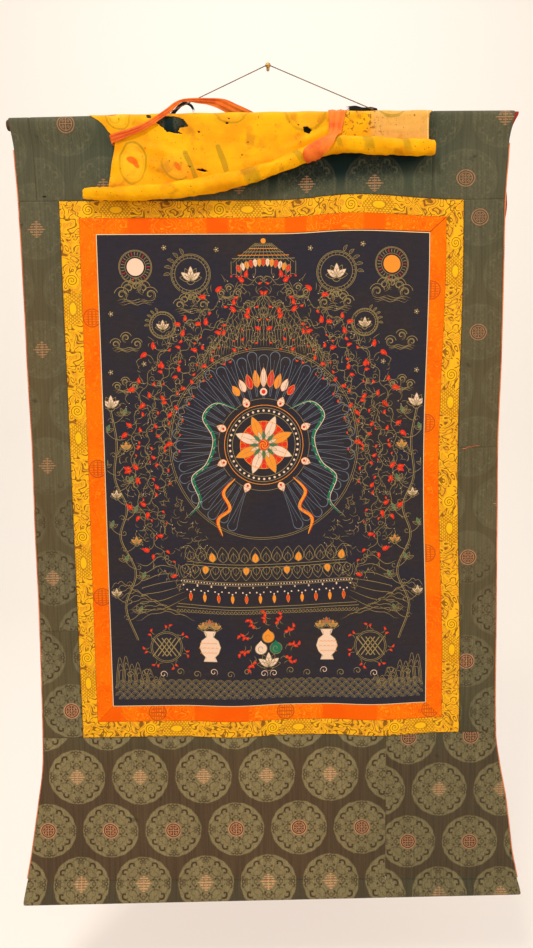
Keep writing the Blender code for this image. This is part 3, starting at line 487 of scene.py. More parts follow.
    def top_drop(self, across: float) -> float:
        """Drop of the bowed top edge."""
        return -self.top_bow * (1 - (across / self.half_span) ** 2)

    def stitch_drop(self, across: float) -> float:
        """Drop of the stitching above the bottom rod."""
        return self.stitch + self.stitch_tilt * across / (2 * self.half_span)

    def bottom_drop(self, across: float) -> float:
        """Drop of the underside of the bottom sleeve."""
        return self.bottom + self.bottom_tilt * across / (2 * self.half_span)

    def top(self, window: Window, f: float) -> Pair:
        """Point a share f along a frame's top edge, lifted where the cloth buckles."""
        across = lerp(window.left_top, window.right_top, f)
        reach = self.rise_left if across < self.rise_across else self.rise_right
        lift = window.rise * bell((across - self.rise_across) / reach)
        return across, lerp(window.drops.left_top, window.drops.right_top, f) - lift

    def low(self, window: Window, f: float) -> Pair:
        """Point a share f along a frame's bottom edge."""
        across = lerp(window.left_low, window.right_low, f)
        dip = sum(d.depth * bell((across - d.across) / d.half_width) for d in self.dips)
        return across, lerp(window.drops.left_low, window.drops.right_low, f) + dip * 4 * f * (1 - f)

    def left(self, window: Window, f: float) -> Pair:
        """Point a share f down a frame's left edge."""
        return (lerp(window.left_top, window.left_low, f),
                lerp(window.drops.left_top, window.drops.left_low, f))

    def right(self, window: Window, f: float) -> Pair:
        """Point a share f down a frame's right edge, which draws in at mid height."""
        drop = lerp(window.drops.right_top, window.drops.right_low, f)
        pull = window.draw_in * bell((drop - self.draw_in_drop) / self.draw_in_reach) * smooth(8 * f)
        return lerp(window.right_top, window.right_low, f) - pull, drop

    def seam(self, upper: bool, c: float) -> Pair:
        """Point of the long seam above or below the window.

        Args:
            upper: Whether it is the seam above.
            c: 0 at the left edge, 1 and 2 at the window's corners, 3 at the right edge.

        Returns:
            Its across and drop.
        """
        curve = self.top if upper else self.low
        if c < 1:
            corner = curve(self.yellow, 0.0)
            return lerp(self.cloth_edge(-1, corner[1]), corner[0], c), corner[1]
        if c > 2:
            corner = curve(self.yellow, 1.0)
            return lerp(corner[0], self.cloth_edge(1, corner[1]), c - 2), corner[1]
        return curve(self.yellow, c - 1)

    def lean(self, upper: bool, c: float, drop: float, edge: Callable[[int, float], float]) -> float:
        """Where a column of the seam lies at another drop: beside the window it leans with the edge."""
        if c < 1:
            return lerp(edge(-1, drop), self.seam(upper, 1)[0], c)
        if c > 2:
            return lerp(self.seam(upper, 2)[0], edge(1, drop), c - 2)
        return self.seam(upper, c)[0]

    def inside(self, s: float, t: float) -> Pair:
        """Point of the picture a share s across and t down."""
        window = self.picture
        corners = [curve(window, f) for curve in (self.top, self.low) for f in (0.0, 1.0)]
        top, low = self.top(window, s), self.low(window, s)
        left, right = self.left(window, t), self.right(window, t)
        return tuple(lerp(top[k], low[k], t) + lerp(left[k], right[k], s)
                - lerp(lerp(corners[0][k], corners[1][k], s), lerp(corners[2][k], corners[3][k], s), t)
                for k in range(2))


def ridges(creases: Sequence[Crease], across: float, drop: float) -> float:
    """Height of a table's creases at a point."""
    lift = 0.0
    for c in creases:
        length = hypot(c.run, c.fall)
        along = ((across - c.across) * c.run + (drop - c.drop) * c.fall) / length
        if abs(along) < length:
            off = (-(across - c.across) * c.fall + (drop - c.drop) * c.run) / length
            lift += c.lift * bell(off / c.half_width) * bell(along / length)
    return lift


HANG = Hang()


class PieceMesh:
    """Points, faces and cloth coordinates gathered for one piece."""

    def __init__(self, name: str) -> None:
        """Start an empty piece."""
        self.name = name
        self.points: list[Vector] = []
        self.cloth: list[Pair] = []
        self.faces: list[tuple[int, ...]] = []

    def add(self, point: Vector, cloth: Pair = (0.0, 0.0)) -> int:
        """Add a point and return its number."""
        self.points.append(point)
        self.cloth.append(cloth)
        return len(self.points) - 1

    def rows(self, points: Grid, cloth: Sequence[Sequence[Pair]], flip: bool = False) -> list[list[int]]:
        """Add a grid of points with the faces between them, and return its numbers."""
        made = [[self.add(p, c) for p, c in zip(row, line)] for row, line in zip(points, cloth)]
        for a, b in zip(made, made[1:]):
            for j in range(len(a) - 1):
                face = (a[j], a[j + 1], b[j + 1], b[j])
                self.faces.append(face[::-1] if flip else face)
        return made

    def shell(self, front: Grid, back: Grid, cloth: Sequence[Sequence[Pair]]) -> None:
        """Add a closed sheet from its two faces."""
        near, far = self.rows(front, cloth), self.rows(back, cloth, flip=True)
        for a, b in ((near[0], far[0]), (far[-1], near[-1])):
            self.faces += [(a[j + 1], a[j], b[j], b[j + 1]) for j in range(len(a) - 1)]
        for k in (0, -1):
            a, b = [row[k] for row in near], [row[k] for row in far]
            if k == -1:
                a, b = b, a
            self.faces += [(a[j], a[j + 1], b[j + 1], b[j]) for j in range(len(a) - 1)]

    def tube(self, path: Sequence[Vector], ring: Callable[[int, float], float], sides: int,
            up: Vector = Vector((0.0, -1.0, 0.0)), capped: bool = True) -> None:
        """Add a tube.

        Args:
            path: Centre line.
            ring: Radius at a step of the path and an angle.
            sides: Points round it.
            up: Direction that angle 0 faces.
            capped: Whether its ends are closed.
        """
        rings: list[list[int]] = []
        run = 0.0
        for k, centre in enumerate(path):
            run += (centre - path[k - 1]).length if k else 0.0
            along = (path[min(k + 1, len(path) - 1)] - path[max(k - 1, 0)]).normalized()
            first = (up - along * up.dot(along)).normalized()
            second = along.cross(first)
            ring_points = []
            for j in range(sides + 1):
                turn = tau * j / sides
                if j == sides:
                    point = self.points[ring_points[0]]
                else:
                    reach = ring(k, turn)
                    point = centre + reach * (cos(turn) * first + sin(turn) * second)
                ring_points.append(self.add(point.copy(), (run, ring(k, 0.0) * turn)))
            rings.append(ring_points)
        for a, b in zip(rings, rings[1:]):
            self.faces += [(a[j], a[j + 1], b[j + 1], b[j]) for j in range(sides)]
        if capped:
            self.faces.append(tuple(rings[0][:-1])[::-1])
            self.faces.append(tuple(rings[-1][:-1]))

    def build(self, material: Material, smooth_angle: float = 50) -> Piece:
        """Make the piece.

        Args:
            material: Its finish.
            smooth_angle: Edges sharper than this many degrees stay crisp.

        Returns:
            The new object.
        """
        mesh = bpy.data.meshes.new(self.name)
        mesh.from_pydata([tuple(p) for p in self.points], [], self.faces)
        layer = mesh.uv_layers.new(name="cloth")
        corners = [0] * len(mesh.loops)
        mesh.loops.foreach_get("vertex_index", corners)
        layer.data.foreach_set("uv", [value for k in corners for value in self.cloth[k]])
        work = bmesh.new()
        work.from_mesh(mesh)
        bmesh.ops.remove_doubles(work, verts=work.verts, dist=1e-6)
        bmesh.ops.recalc_face_normals(work, faces=work.faces)
        work.to_mesh(mesh)
        work.free()
        mesh.shade_smooth()
        mesh.set_sharp_from_angle(angle=radians(smooth_angle))
        mesh.materials.append(material)
        piece = bpy.data.objects.new(f"{self.name}_piece", mesh)
        bpy.context.scene.collection.objects.link(piece)
        return piece


def fit(piece: Piece, slot: str, *nodes: str) -> Piece:
    """Put a piece on the scroll and let it stand for its nodes."""
    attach(piece, "root")
    if nodes:
        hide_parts(*nodes)
    LOG.info("%s: %d faces", piece.name, len(piece.data.polygons))
    return piece


def hem_steps(count: int, length: float, start: float = 0.0, end: float = 1.0) -> list[float]:
    """Even steps with close ones at both ends, where a piece turns down into its seam."""
    rim = HANG.seam_reach / length
    inner = [start + rim * 0.35, start + rim * 0.8, start + rim * 1.5]
    outer = [end - rim * 1.5, end - rim * 0.8, end - rim * 0.35]
    first, last = start + 2.6 * rim, end - 2.6 * rim
    return [start, *inner, *(lerp(first, last, k / count) for k in range(count + 1)), *outer, end]


def hem_dip(distance: float) -> float:
    """How far the face of a piece turns down near its seam."""
    return HANG.seam_dip * (1 - smooth(distance / HANG.seam_reach))


class Slot(Enum):
    """Names of the finishes."""

    BROCADE = "green_brocade"
    YELLOW = "yellow_brocade"
    ORANGE = "orange_brocade"
    CANVAS = "painted_canvas"
    LINING = "red_lining"
    BINDING = "edge_binding"
    SILK = "cover_silk"
    RIBBON = "orange_ribbon"
    TIE = "dark_tie"
    CORD = "brown_cord"
    WOOD = "rod_wood"
    BRASS = "nail_brass"


class Held(Enum):
    """How a sheet is held."""

    HUNG = "hung"
    GATHERED = "gathered"
    DRAPED = "draped"


class Cut(NamedTuple):
    """Where the woven pattern lies on one cut piece, and how large it hangs there."""

    across: float
    drop: float
    pitch: float = 0.13
    row: float = 0.1145

    def cloth(self, across: float, drop: float) -> Pair:
        """Cloth coordinates of a place."""
        return (across - self.across) * LOOM_PITCH / self.pitch, (drop - self.drop) * LOOM_ROW / self.row


LOOM_PITCH = 0.13
LOOM_ROW = 0.1145
GRID_STEP = 0.008


class Spot(NamedTuple):
    """Point in the middle of a sheet, with the angle of its front above straight out."""

    across: float
    drop: float
    out: float
    angle: float
    cloth: Pair
    dip: float = 0.0

    def at(self, offset: float) -> Vector:
        """World point at a distance in front of the middle."""
        return HANG.place(self.across, self.drop - offset * sin(self.angle),
                self.out + offset * cos(self.angle))


@dataclass(frozen=True)
class Sheet:
    """One thin sheet of cloth on a grid of spots."""

    name: str
    slot: Slot
    spots: Sequence[Sequence[Spot]]
    front: float = 0.0006
    back: float = -0.0003
    held: Held = Held.HUNG

    def build(self, material: Material, nodes: Sequence[str] | None = None,
            rests_on: Sequence[str] = ()) -> Piece:
        """Build the sheet, fit it and log its flat size."""
        made = PieceMesh(self.name)
        made.shell([[s.at(self.front - s.dip) for s in row] for row in self.spots],
                [[s.at(self.back) for s in row] for row in self.spots],
                [[s.cloth for s in row] for row in self.spots])
        piece = fit(made.build(material), self.slot.value, *(nodes or (self.name,)))
        middle = [[s.at(0.0) for s in row] for row in self.spots]
        width = sum(arc_length(row) for row in middle) / len(middle)
        length = sum(arc_length(line) for line in zip(*middle)) / len(middle[0])
        LOG.info("%s: flat %.3f x %.3f m", self.name, width, length)
        return piece


def flat_spots(point: Callable[[float, float], Pair], size: Pair,
        cloth: Callable[[float, float], Pair]) -> list[list[Spot]]:
    """Spots of a flat piece with its hems turned down.

    Args:
        point: Across and drop for a share across and a share down the piece.
        size: Its width and height.
        cloth: Cloth coordinates for an across and a drop.

    Returns:
        Rows of spots.
    """
    width, height = size
    ends = [HANG.seam_inset / size[k] for k in range(2)]
    half = HANG.cloth_thick / 2
    rows = []
    for t in hem_steps(max(round(height / GRID_STEP), 2), height, ends[1], 1 - ends[1]):
        row = []
        for s in hem_steps(max(round(width / GRID_STEP), 2), width, ends[0], 1 - ends[0]):
            across, drop = point(s, t)
            reach = min(min(s, 1 - s) * width, min(t, 1 - t) * height)
            row.append(Spot(across, drop, HANG.front(across, drop) - half, 0.0, cloth(across, drop),
                    hem_dip(reach)))
        rows.append(row)
    return rows


@dataclass(frozen=True)
class Mount:
    """Green brocade mount: heading, sides and bottom, pieced as the loom width asked."""

    heading_rows: int = 13
    lead_rows: int = 6
    arc_rows: int = 20
    flap_rows: int = 4
    lower_rows: int = 34
    bag_rows: int = 5
    bag_arc_rows: int = 26
    cuts: tuple[tuple[str, Cut], ...] = (
        ("heading_left_end", Cut(-0.5, 0.06)),
        ("heading_middle", Cut(-0.0442, 0.128, 0.1285, 0.114)),
        ("heading_right_end", Cut(0.4562, 0.0131, 0.14, 0.1076)),
        ("side_left_upper", Cut(-0.4318, 0.2037, 0.13, 0.1132)),
        ("side_left_lower", Cut(-0.341, 1.048, 0.13, 0.113)),
        ("side_right_upper", Cut(0.479, 0.3008, 0.13, 0.108)),
        ("side_right_lower", Cut(0.4656, 0.7444, 0.13, 0.1078)),
        ("bottom_panel", Cut(-0.4013, 1.305, 0.1309, 0.1175)),
        ("bottom_patch", Cut(0.3481, 1.3414, 0.128, 0.1145)),
    )

    def side_point(self, side: int, f: float, s: float) -> Pair:
        """Point of a side, a share f down the window and s from the outer edge to the inner."""
        inner = (HANG.left if side < 0 else HANG.right)(HANG.yellow, f)
        return lerp(HANG.cloth_edge(side, inner[1]), inner[0], s), inner[1]

    def columns(self, upper: bool, first: float, last: float) -> list[tuple[float, float, float]]:
        """Columns of a panel along a long seam.

        Args:
            upper: Whether it is the seam above the window.
            first: Seam position of the panel's left side.
            last: That of its right side.

        Returns:
            For each column its seam position, its nudge into the piece and its distance from a side.
        """
        marks = [HANG.seam(upper, c)[0] for c in range(4)]
        start, end = HANG.seam(upper, first)[0], HANG.seam(upper, last)[0]
        width = end - start
        made = []
        for share in hem_steps(max(round(width / GRID_STEP), 2), width):
            across = lerp(start, end, share)
            k = 0 if across < marks[1] else 1 if across < marks[2] else 2
            c = min(max(k + (across - marks[k]) / (marks[k + 1] - marks[k]), first), last)
            nudge = HANG.seam_inset if share == 0 else -HANG.seam_inset if share == 1 else 0.0
            made.append((c, nudge, min(share, 1 - share) * width))
        return made

    def heading(self, c: float, cut: Cut, edge: Callable[[int, float], float],
            inward: Pair = (0.0, 0.0)) -> list[Spot]:
        """Column of the heading: up the front, round the rod and down the back.

        Args:
            c: Seam position.
            cut: The piece's pattern.
            edge: Outer edge of the layer.
            inward: How far inside the brocade its middle lies, hanging and in the sleeve.

        Returns:
            The column's spots, from the seam on.
        """
        half = HANG.cloth_thick / 2
        seam = HANG.seam(True, c)[1] - HANG.seam_inset
        middle = HANG.top_drop(HANG.lean(True, c, HANG.top_sleeve, edge)) + HANG.top_sleeve
        radius = HANG.top_sleeve - half - inward[1]
        span = seam - HANG.lead_drop
        rim = HANG.seam_reach / span
        shares = [0.0, rim * 0.35, rim * 0.8, rim * 1.5, *(lerp(2.6 * rim, 1, k / self.heading_rows)
                for k in range(self.heading_rows))]
        line = []
        for t in shares:
            drop = lerp(seam, HANG.lead_drop, t)
            out = HANG.front(HANG.lean(True, c, drop, edge), drop) - half - inward[0]
            line.append((drop, out, 0.0, hem_dip(t * span)))
        for k in range(self.lead_rows):
            t = k / self.lead_rows
            drop = lerp(HANG.lead_drop, middle, t)
            cloth_out = HANG.front(HANG.lean(True, c, drop, edge), drop) - half
            out = lerp(cloth_out, HANG.top_rod_out + HANG.top_sleeve - half, smooth(t))
            line.append((drop, out - lerp(*inward, min(1.0, 1.5 * t)), 0.0, 0.0))
        for k in range(self.arc_rows + 1):
            angle = HANG.flap_angle * k / self.arc_rows
            line.append((middle - radius * sin(angle), HANG.top_rod_out + radius * cos(angle),
                    angle, 0.0))
        flap = HANG.flap_length - inward[1] * 0.5
        start = line[-1]
        for k in range(1, self.flap_rows + 1):
            run = flap * k / self.flap_rows
            line.append((start[0] - run * cos(start[2]), start[1] - run * sin(start[2]), start[2], 0.0))
        return self.column(line, c, True, cut, edge, seam, -1)

    def column(self, line: Sequence[tuple[float, ...]], c: float, upper: bool, cut: Cut,
            edge: Callable[[int, float], float], seam: float, way: int) -> list[Spot]:
        """Spots of a column from its (drop, out, angle, dip) line, with the cloth's own length along it."""
        spots, run = [], 0.0
        for k, (drop, out, angle, dip) in enumerate(line):
            run += dist(line[k - 1][:2], (drop, out)) if k else 0.0
            across = HANG.lean(upper, c, drop, edge)
            spots.append(Spot(across, drop, out, angle, cut.cloth(across, seam + way * run), dip))
        return spots

    def bottom(self, c: float, cut: Cut) -> list[Spot]:
        """Column of the bottom panel: down the front, round the rod and up the back."""
        def across(drop: float) -> float:
            """Where the column lies at a drop."""
            return HANG.lean(False, c, drop, HANG.cloth_edge)

        half = HANG.cloth_thick / 2
        seam = HANG.seam(False, c)[1] + HANG.seam_inset
        centre = (HANG.bottom_drop(across(HANG.bottom)) - HANG.bottom_sleeve, HANG.bottom_rod_out)
        radius = HANG.bottom_sleeve - half
        stitch = HANG.stitch_drop(across(HANG.stitch))
        span = stitch - seam
        rim = HANG.seam_reach / span
        shares = [0.0, rim * 0.35, rim * 0.8, rim * 1.5, *(lerp(2.6 * rim, 1, k / self.lower_rows)
                for k in range(self.lower_rows + 1))]
        line = []
        for t in shares:
            drop = lerp(seam, stitch, t)
            groove = 0.0005 * bell((1 - t) * span / 0.005)
            line.append((drop, HANG.front(across(drop), drop) - half, 0.0, hem_dip(t * span) + groove))
        apex = line[-1]
        hem = (apex[0] + HANG.hem_drop, apex[1] - HANG.cloth_thick - 2 * HANG.sleeve_gap)
        first = tangent_angle(centre, radius, apex[:2], 1)
        last = tangent_angle(centre, radius, hem, -1) - tau
        arc = []
        for k in range(self.bag_arc_rows + 1):
            angle = lerp(first, last, k / self.bag_arc_rows)
            arc.append((centre[0] - radius * sin(angle), centre[1] + radius * cos(angle), angle, 0.0))
        for k in range(1, self.bag_rows):
            t = k / self.bag_rows
            groove = 0.0004 * bell(t * 3)
            line.append((lerp(apex[0], arc[0][0], t), lerp(apex[1], arc[0][1], t), first * min(1, 4 * t),
                    groove))
        line += arc
        for k in range(1, self.bag_rows + 1):
            t = k / self.bag_rows
            line.append((lerp(arc[-1][0], hem[0], t), lerp(arc[-1][1], hem[1], t), last, 0.0))
        return self.column(line, c, False, cut, HANG.cloth_edge, seam, 1)

    def panel(self, upper: bool, first: float, last: float, cut: Cut) -> list[list[Spot]]:
        """Spots of a panel that ends in a sleeve, in columns."""
        made = []
        for c, nudge, reach in self.columns(upper, first, last):
            line = self.heading(c, cut, HANG.cloth_edge) if upper else self.bottom(c, cut)
            made.append([s._replace(across=s.across + nudge, dip=max(s.dip, hem_dip(reach))) for s in line])
        return made

    def build(self, material: Material) -> None:
        """Build the nine pieces."""
        cuts = dict(self.cuts)
        right = 1 + HANG.heading_seam_right
        low = 1 + HANG.lower_seam
        for name, upper, first, last in (
                ("heading_left_end", True, 0.0, HANG.heading_seam_left),
                ("heading_middle", True, HANG.heading_seam_left, right),
                ("heading_right_end", True, right, 3.0),
                ("bottom_panel", False, 0.0, low),
                ("bottom_patch", False, low, 3.0)):
            spots = list(zip(*self.panel(upper, first, last, cuts[name])))
            Sheet(name, Slot.BROCADE, spots).build(material)
        for name, side, first, last in (
                ("side_left_upper", -1, 0.0, HANG.left_seam),
                ("side_left_lower", -1, HANG.left_seam, 1.0),
                ("side_right_upper", 1, 0.0, HANG.right_seam),
                ("side_right_lower", 1, HANG.right_seam, 1.0)):
            def point(s: float, t: float) -> Pair:
                """Point of this side piece."""
                return self.side_point(side, lerp(first, last, t), s)

            size = (abs(point(1, 0.5)[0] - point(0, 0.5)[0]), point(0, 1)[1] - point(0, 0)[1])
            Sheet(name, Slot.BROCADE, flat_spots(point, size, cuts[name].cloth)).build(material)


def tangent_angle(centre: Pair, radius: float, point: Pair, side: int) -> float:
    """Angle of the tangent point on a circle for a line from a point above it."""
    rise_by, out_by = centre[0] - point[0], point[1] - centre[1]
    return atan2(rise_by, out_by) - side * acos(radius / hypot(rise_by, out_by))


class Strip(NamedTuple):
    """One side of the borders: its curls and clouds, medallions and plain blocks."""

    side: str
    curl: float
    phase: float
    medals: tuple[float, ...]
    blocks: tuple[float, float, float] | None
    medal_in: float = 0.0185


@dataclass(frozen=True)
class Borders:
    """Two nested borders of four mitred strips each."""

    strips: tuple[Strip, ...] = (
        Strip("top", -0.332, 1.3, (), (-0.237, 0.15, 0.021)),
        Strip("bottom", -0.245, 4.1, (-0.23, 0.032, 0.328), (-0.0985, 0.262, 0.056)),
        Strip("left", 0.3, 7.7, (0.3711, 0.6641, 0.923), None),
        Strip("right", 0.24, 2.6, (0.3278, 0.5834, 0.843), None, 0.0262),
    )

    def build(self) -> None:
        """Build the eight strips."""
        for strip in self.strips:
            curve = {"top": HANG.top, "bottom": HANG.low, "left": HANG.left, "right": HANG.right}[strip.side]
            yellow = CloudBrocade().material(f"yellow_brocade_{strip.side}", strip.curl, strip.phase)
            orange = FloralBrocade().material(f"orange_brocade_{strip.side}", strip.medals, strip.blocks,
                    strip.medal_in)
            self.strip(strip, curve, HANG.yellow, HANG.orange, Slot.YELLOW, yellow)
            self.strip(strip, curve, HANG.orange, HANG.picture, Slot.ORANGE, orange)

    def strip(self, strip: Strip, curve: Callable[[Window, float], Pair], outer: Window, inner: Window,
            slot: Slot, material: Material) -> None:
        """Build one strip between two frames."""
        def point(s: float, t: float) -> Pair:
            """Point a share s from the outer edge and t along the strip."""
            a, b = curve(outer, t), curve(inner, t)
            return lerp(a[0], b[0], s), lerp(a[1], b[1], s)

        width = dist(point(0, 0.5), point(1, 0.5))
        length = dist(point(0, 0), point(0, 1))
        shares = hem_steps(max(round(width / GRID_STEP), 2), width)
        level = strip.side in ("top", "bottom")
        spots = [[s._replace(cloth=(s.across if level else s.drop, share * width))
                for s, share in zip(row, shares)]
                for row in flat_spots(point, (width, length), lambda a, d: (a, d))]
        Sheet(f"{slot.value.split('_')[0]}_border_{strip.side}", slot, spots).build(material)


@dataclass(frozen=True)
class Stitching:
    """Thread that shows: round the yellow border, above the bottom rod, and a copper end at the right seam."""

    pitch: float = 0.0042
    length: float = 0.003
    slant: float = 0.0007
    radius: float = 0.00026
    proud: float = 0.0003
    loose: tuple[Pair, ...] = ((0.386, 0.6345), (0.392, 0.634), (0.397, 0.631), (0.403, 0.6315),
            (0.409, 0.6295), (0.419, 0.6292))

    def point(self, line: Sequence[Pair], reach: float, side: float) -> Vector:
        """Point on the cloth's face at a length along a line, and to one side of it."""
        runs = [0.0]
        for a, b in zip(line, line[1:]):
            runs.append(runs[-1] + dist(a, b))
        across, drop = (through(runs, [p[k] for p in line], reach) for k in range(2))
        (ax, ay), (bx, by) = line[0], line[-1]
        span = dist(line[0], line[-1])
        across, drop = across - side * (by - ay) / span, drop + side * (bx - ax) / span
        return HANG.place(across, drop, HANG.front(across, drop) + self.proud)

    def build(self, dark: Material, copper: Material) -> None:
        """Lay every stitch."""
        made = PieceMesh("border_stitches")
        lines = [[curve(HANG.yellow, k / 24) for k in range(25)]
                for curve in (HANG.top, HANG.low, HANG.left, HANG.right)]
        lines.append([(k / 24 - 0.5, HANG.stitch_drop(k / 24 - 0.5)) for k in range(1, 24)])
        for line in lines:
            for n in range(1, int(arc_length(line) / self.pitch)):
                ends = [self.point(line, n * self.pitch + way * self.length / 2, way * self.slant)
                        for way in (-1, 1)]
                ends.insert(1, sum(ends, Vector()) / 2 + Vector((0.0, -self.proud, 0.0)))
                made.tube(ends, lambda k, turn: self.radius, 4)
        fit(made.build(dark), Slot.YELLOW.value)
        made = PieceMesh("loose_end")
        made.tube([HANG.place(a, d, HANG.front(a, d) + self.proud) for a, d in self.loose],
                lambda k, turn: 0.0009 - 0.0001 * k, 6)
        fit(made.build(copper), Slot.BROCADE.value)


@dataclass(frozen=True)
class Picture:
    """Painted canvas with a generic design laid on it in thin strokes."""

    def build(self) -> None:
        """Build the canvas."""
        window = HANG.picture
        size = (window.right_top - window.left_top, window.drops.left_low - window.drops.left_top)
        spots = flat_spots(HANG.inside, size, lambda a, d: (a, d))
        columns = hem_steps(round(size[0] / GRID_STEP), size[0])
        rows = hem_steps(round(size[1] / GRID_STEP), size[1])
        spots = [[spot._replace(cloth=(s * size[0], t * size[1])) for spot, s in zip(row, columns)]
                for row, t in zip(spots, rows)]
        Sheet("picture", Slot.CANVAS, spots).build(Canvas().material(*size))
        Design().paint()


@dataclass(frozen=True)
class Lining:
    """Red cotton lining that peeks out at the right, with the creases of years of rolling."""

    thick: float = 0.001
    inset: float = 0.0026
    low_gap: float = 0.004
    lower_rows: int = 28
    window_rows: int = 110
    peeks: tuple[Triple, ...] = ((0.004, 0.03, 0.0072), (0.17, 0.05, 0.005))
    roll_creases: tuple[Pair, ...] = (
        (0.262, 0.0012), (0.331, 0.0008), (0.405, 0.0014), (0.498, 0.0009), (0.572, 0.0013), (0.661, 0.0008),
        (0.744, 0.0012), (0.838, 0.001), (0.925, 0.0014), (1.022, 0.0009), (1.11, 0.0012), (1.204, 0.0008),
        (1.29, 0.0013), (1.385, 0.001), (1.467, 0.0012))

    def edge(self, side: int, drop: float) -> float:
        """Edge of the lining at a drop."""
        reach = 0.0
        if side > 0:
            reach = sum(p[2] * bell((drop - p[0]) / p[1]) for p in self.peeks)
        return HANG.edge(side, drop) - side * self.inset + reach

    def sag(self, across: float, drop: float) -> float:
        """How far the lining bellies out toward the wall."""
        share = bell(across / 0.47)
        rolls = sum(lift * bell((drop - at - 0.012 * sin(7 * across + 9 * at)) / 0.01)
                for at, lift in self.roll_creases)
        return (rolls + 0.0012 * sin(11 * across + 5 * drop) ** 2) * share

    def across(self, c: float, drop: float) -> float:
        """Where a column of the lining lies at a drop."""
        top, low = (HANG.seam(upper, min(max(c, 1), 2)) for upper in (True, False))
        t = min(max((drop - top[1]) / (low[1] - top[1]), 0.0), 1.0)
        inner = lerp(top[0], low[0], t)
        if c < 1:
            return lerp(self.edge(-1, drop), inner, c)
        return lerp(inner, self.edge(1, drop), c - 2) if c > 2 else inner

    def column(self, mount: Mount, c: float) -> list[Spot]:
        """Column of the lining, from its lower hem up and round inside the top sleeve."""
        top, low = HANG.seam(True, c), HANG.seam(False, c)
        half = HANG.cloth_thick / 2
        end = HANG.stitch_drop(low[0]) - self.low_gap
        drops = [lerp(end, low[1], k / self.lower_rows) for k in range(self.lower_rows)]
        drops += [lerp(low[1], top[1], k / self.window_rows) for k in range(self.window_rows)]
        spots = []
        for drop in drops:
            across = self.across(c, drop)
            out = HANG.front(across, drop) - HANG.cloth_thick - HANG.lining_gap - self.thick / 2
            spots.append(Spot(across, drop, out - self.sag(across, drop), 0.0, (across, drop)))
        inward = (half + HANG.lining_gap + self.thick / 2, half + HANG.sleeve_gap + self.thick / 2)
        return spots + mount.heading(c, Cut(0.0, 0.0), self.edge, inward)

    def build(self, mount: Mount, material: Material) -> None:
        """Build the lining."""
        steps = [k / 9 for k in range(9)] + [1 + k / 76 for k in range(76)] + [2 + k / 9 for k in range(10)]
        spots = list(zip(*(self.column(mount, c) for c in steps)))
        Sheet("lining", Slot.LINING, spots, front=0.0004, back=-0.0004).build(material)


@dataclass(frozen=True)
class Binding:
    """Twisted piping down each side."""

    radius: float = 0.0011
    twist: float = 0.0045
    ridge: float = 0.16
    step: float = 0.0016
    sides: int = 10

    def build(self, material: Material) -> None:
        """Build both bindings."""
        for name, side in (("binding_left", -1), ("binding_right", 1)):
            end = HANG.stitch_drop(side * HANG.half_span) - 0.004
            count = round((end - 0.058) / self.step)
            path = []
            for k in range(count + 1):
                drop = lerp(0.058, end, k / count)
                across = HANG.cloth_edge(side, drop) + side * self.radius * 0.8
                level = HANG.front(across, drop) - HANG.cloth_thick / 2
                path.append(HANG.place(across, drop, level))
            made = PieceMesh(name)

            def ring(k: int, turn: float) -> float:
                """Radius of the two strands twisted together."""
                return self.radius * (1 + self.ridge * cos(2 * turn - tau * k * self.step / self.twist))

            made.tube(path, ring, self.sides)
            fit(made.build(material), Slot.BINDING.value, name)


@dataclass(frozen=True)
class Rods:
    """Wooden rods in the two sleeves, their ends rounded over."""

    steps: int = 60
    sides: int = 40
    round_over: float = 0.0035
    end_steps: int = 5

    def rod(self, name: str, ends: Pair, centre: Callable[[float], Vector], radius: float,
            material: Material) -> None:
        """Build one rod."""
        places, radii = [], []
        for k in range(self.end_steps + 1):
            turn = pi / 2 * k / self.end_steps
            places.append(ends[0] + self.round_over * (1 - sin(turn)))
            radii.append(radius - self.round_over * (1 - cos(turn)))
        places, radii = places[::-1], radii[::-1]
        body = [lerp(ends[0] + self.round_over, ends[1] - self.round_over, k / self.steps)
                for k in range(1, self.steps)]
        across = places + body + [ends[0] + ends[1] - a for a in reversed(places)]
        reach = radii + [radius] * len(body) + radii[::-1]
        made = PieceMesh(name)
        made.tube([centre(a) for a in across], lambda k,
                turn: reach[k] * (1 + 0.006 * sin(3 * turn + 9 * across[k])),
                self.sides)
        fit(made.build(material), Slot.WOOD.value, name)

    def build(self, material: Material) -> None:
        """Build both rods."""
        self.rod("top_rod", (HANG.top_rod_left, HANG.top_rod_right),
                lambda a: HANG.place(a, HANG.top_drop(a) + HANG.top_sleeve, HANG.top_rod_out),
                HANG.top_rod_radius, material)
        self.rod("bottom_rod", (HANG.bottom_rod_left, HANG.bottom_rod_right),
                lambda a: HANG.place(a, HANG.bottom_drop(a) - HANG.bottom_sleeve, HANG.bottom_rod_out),
                HANG.bottom_rod_radius, material)


class Station(NamedTuple):
    """Side edge of the cover at one drop."""

    drop: float
    across: float


class RollStation(NamedTuple):
    """Middle and width of the rolled cover at one place across."""

    across: float
    drop: float
    diameter: float


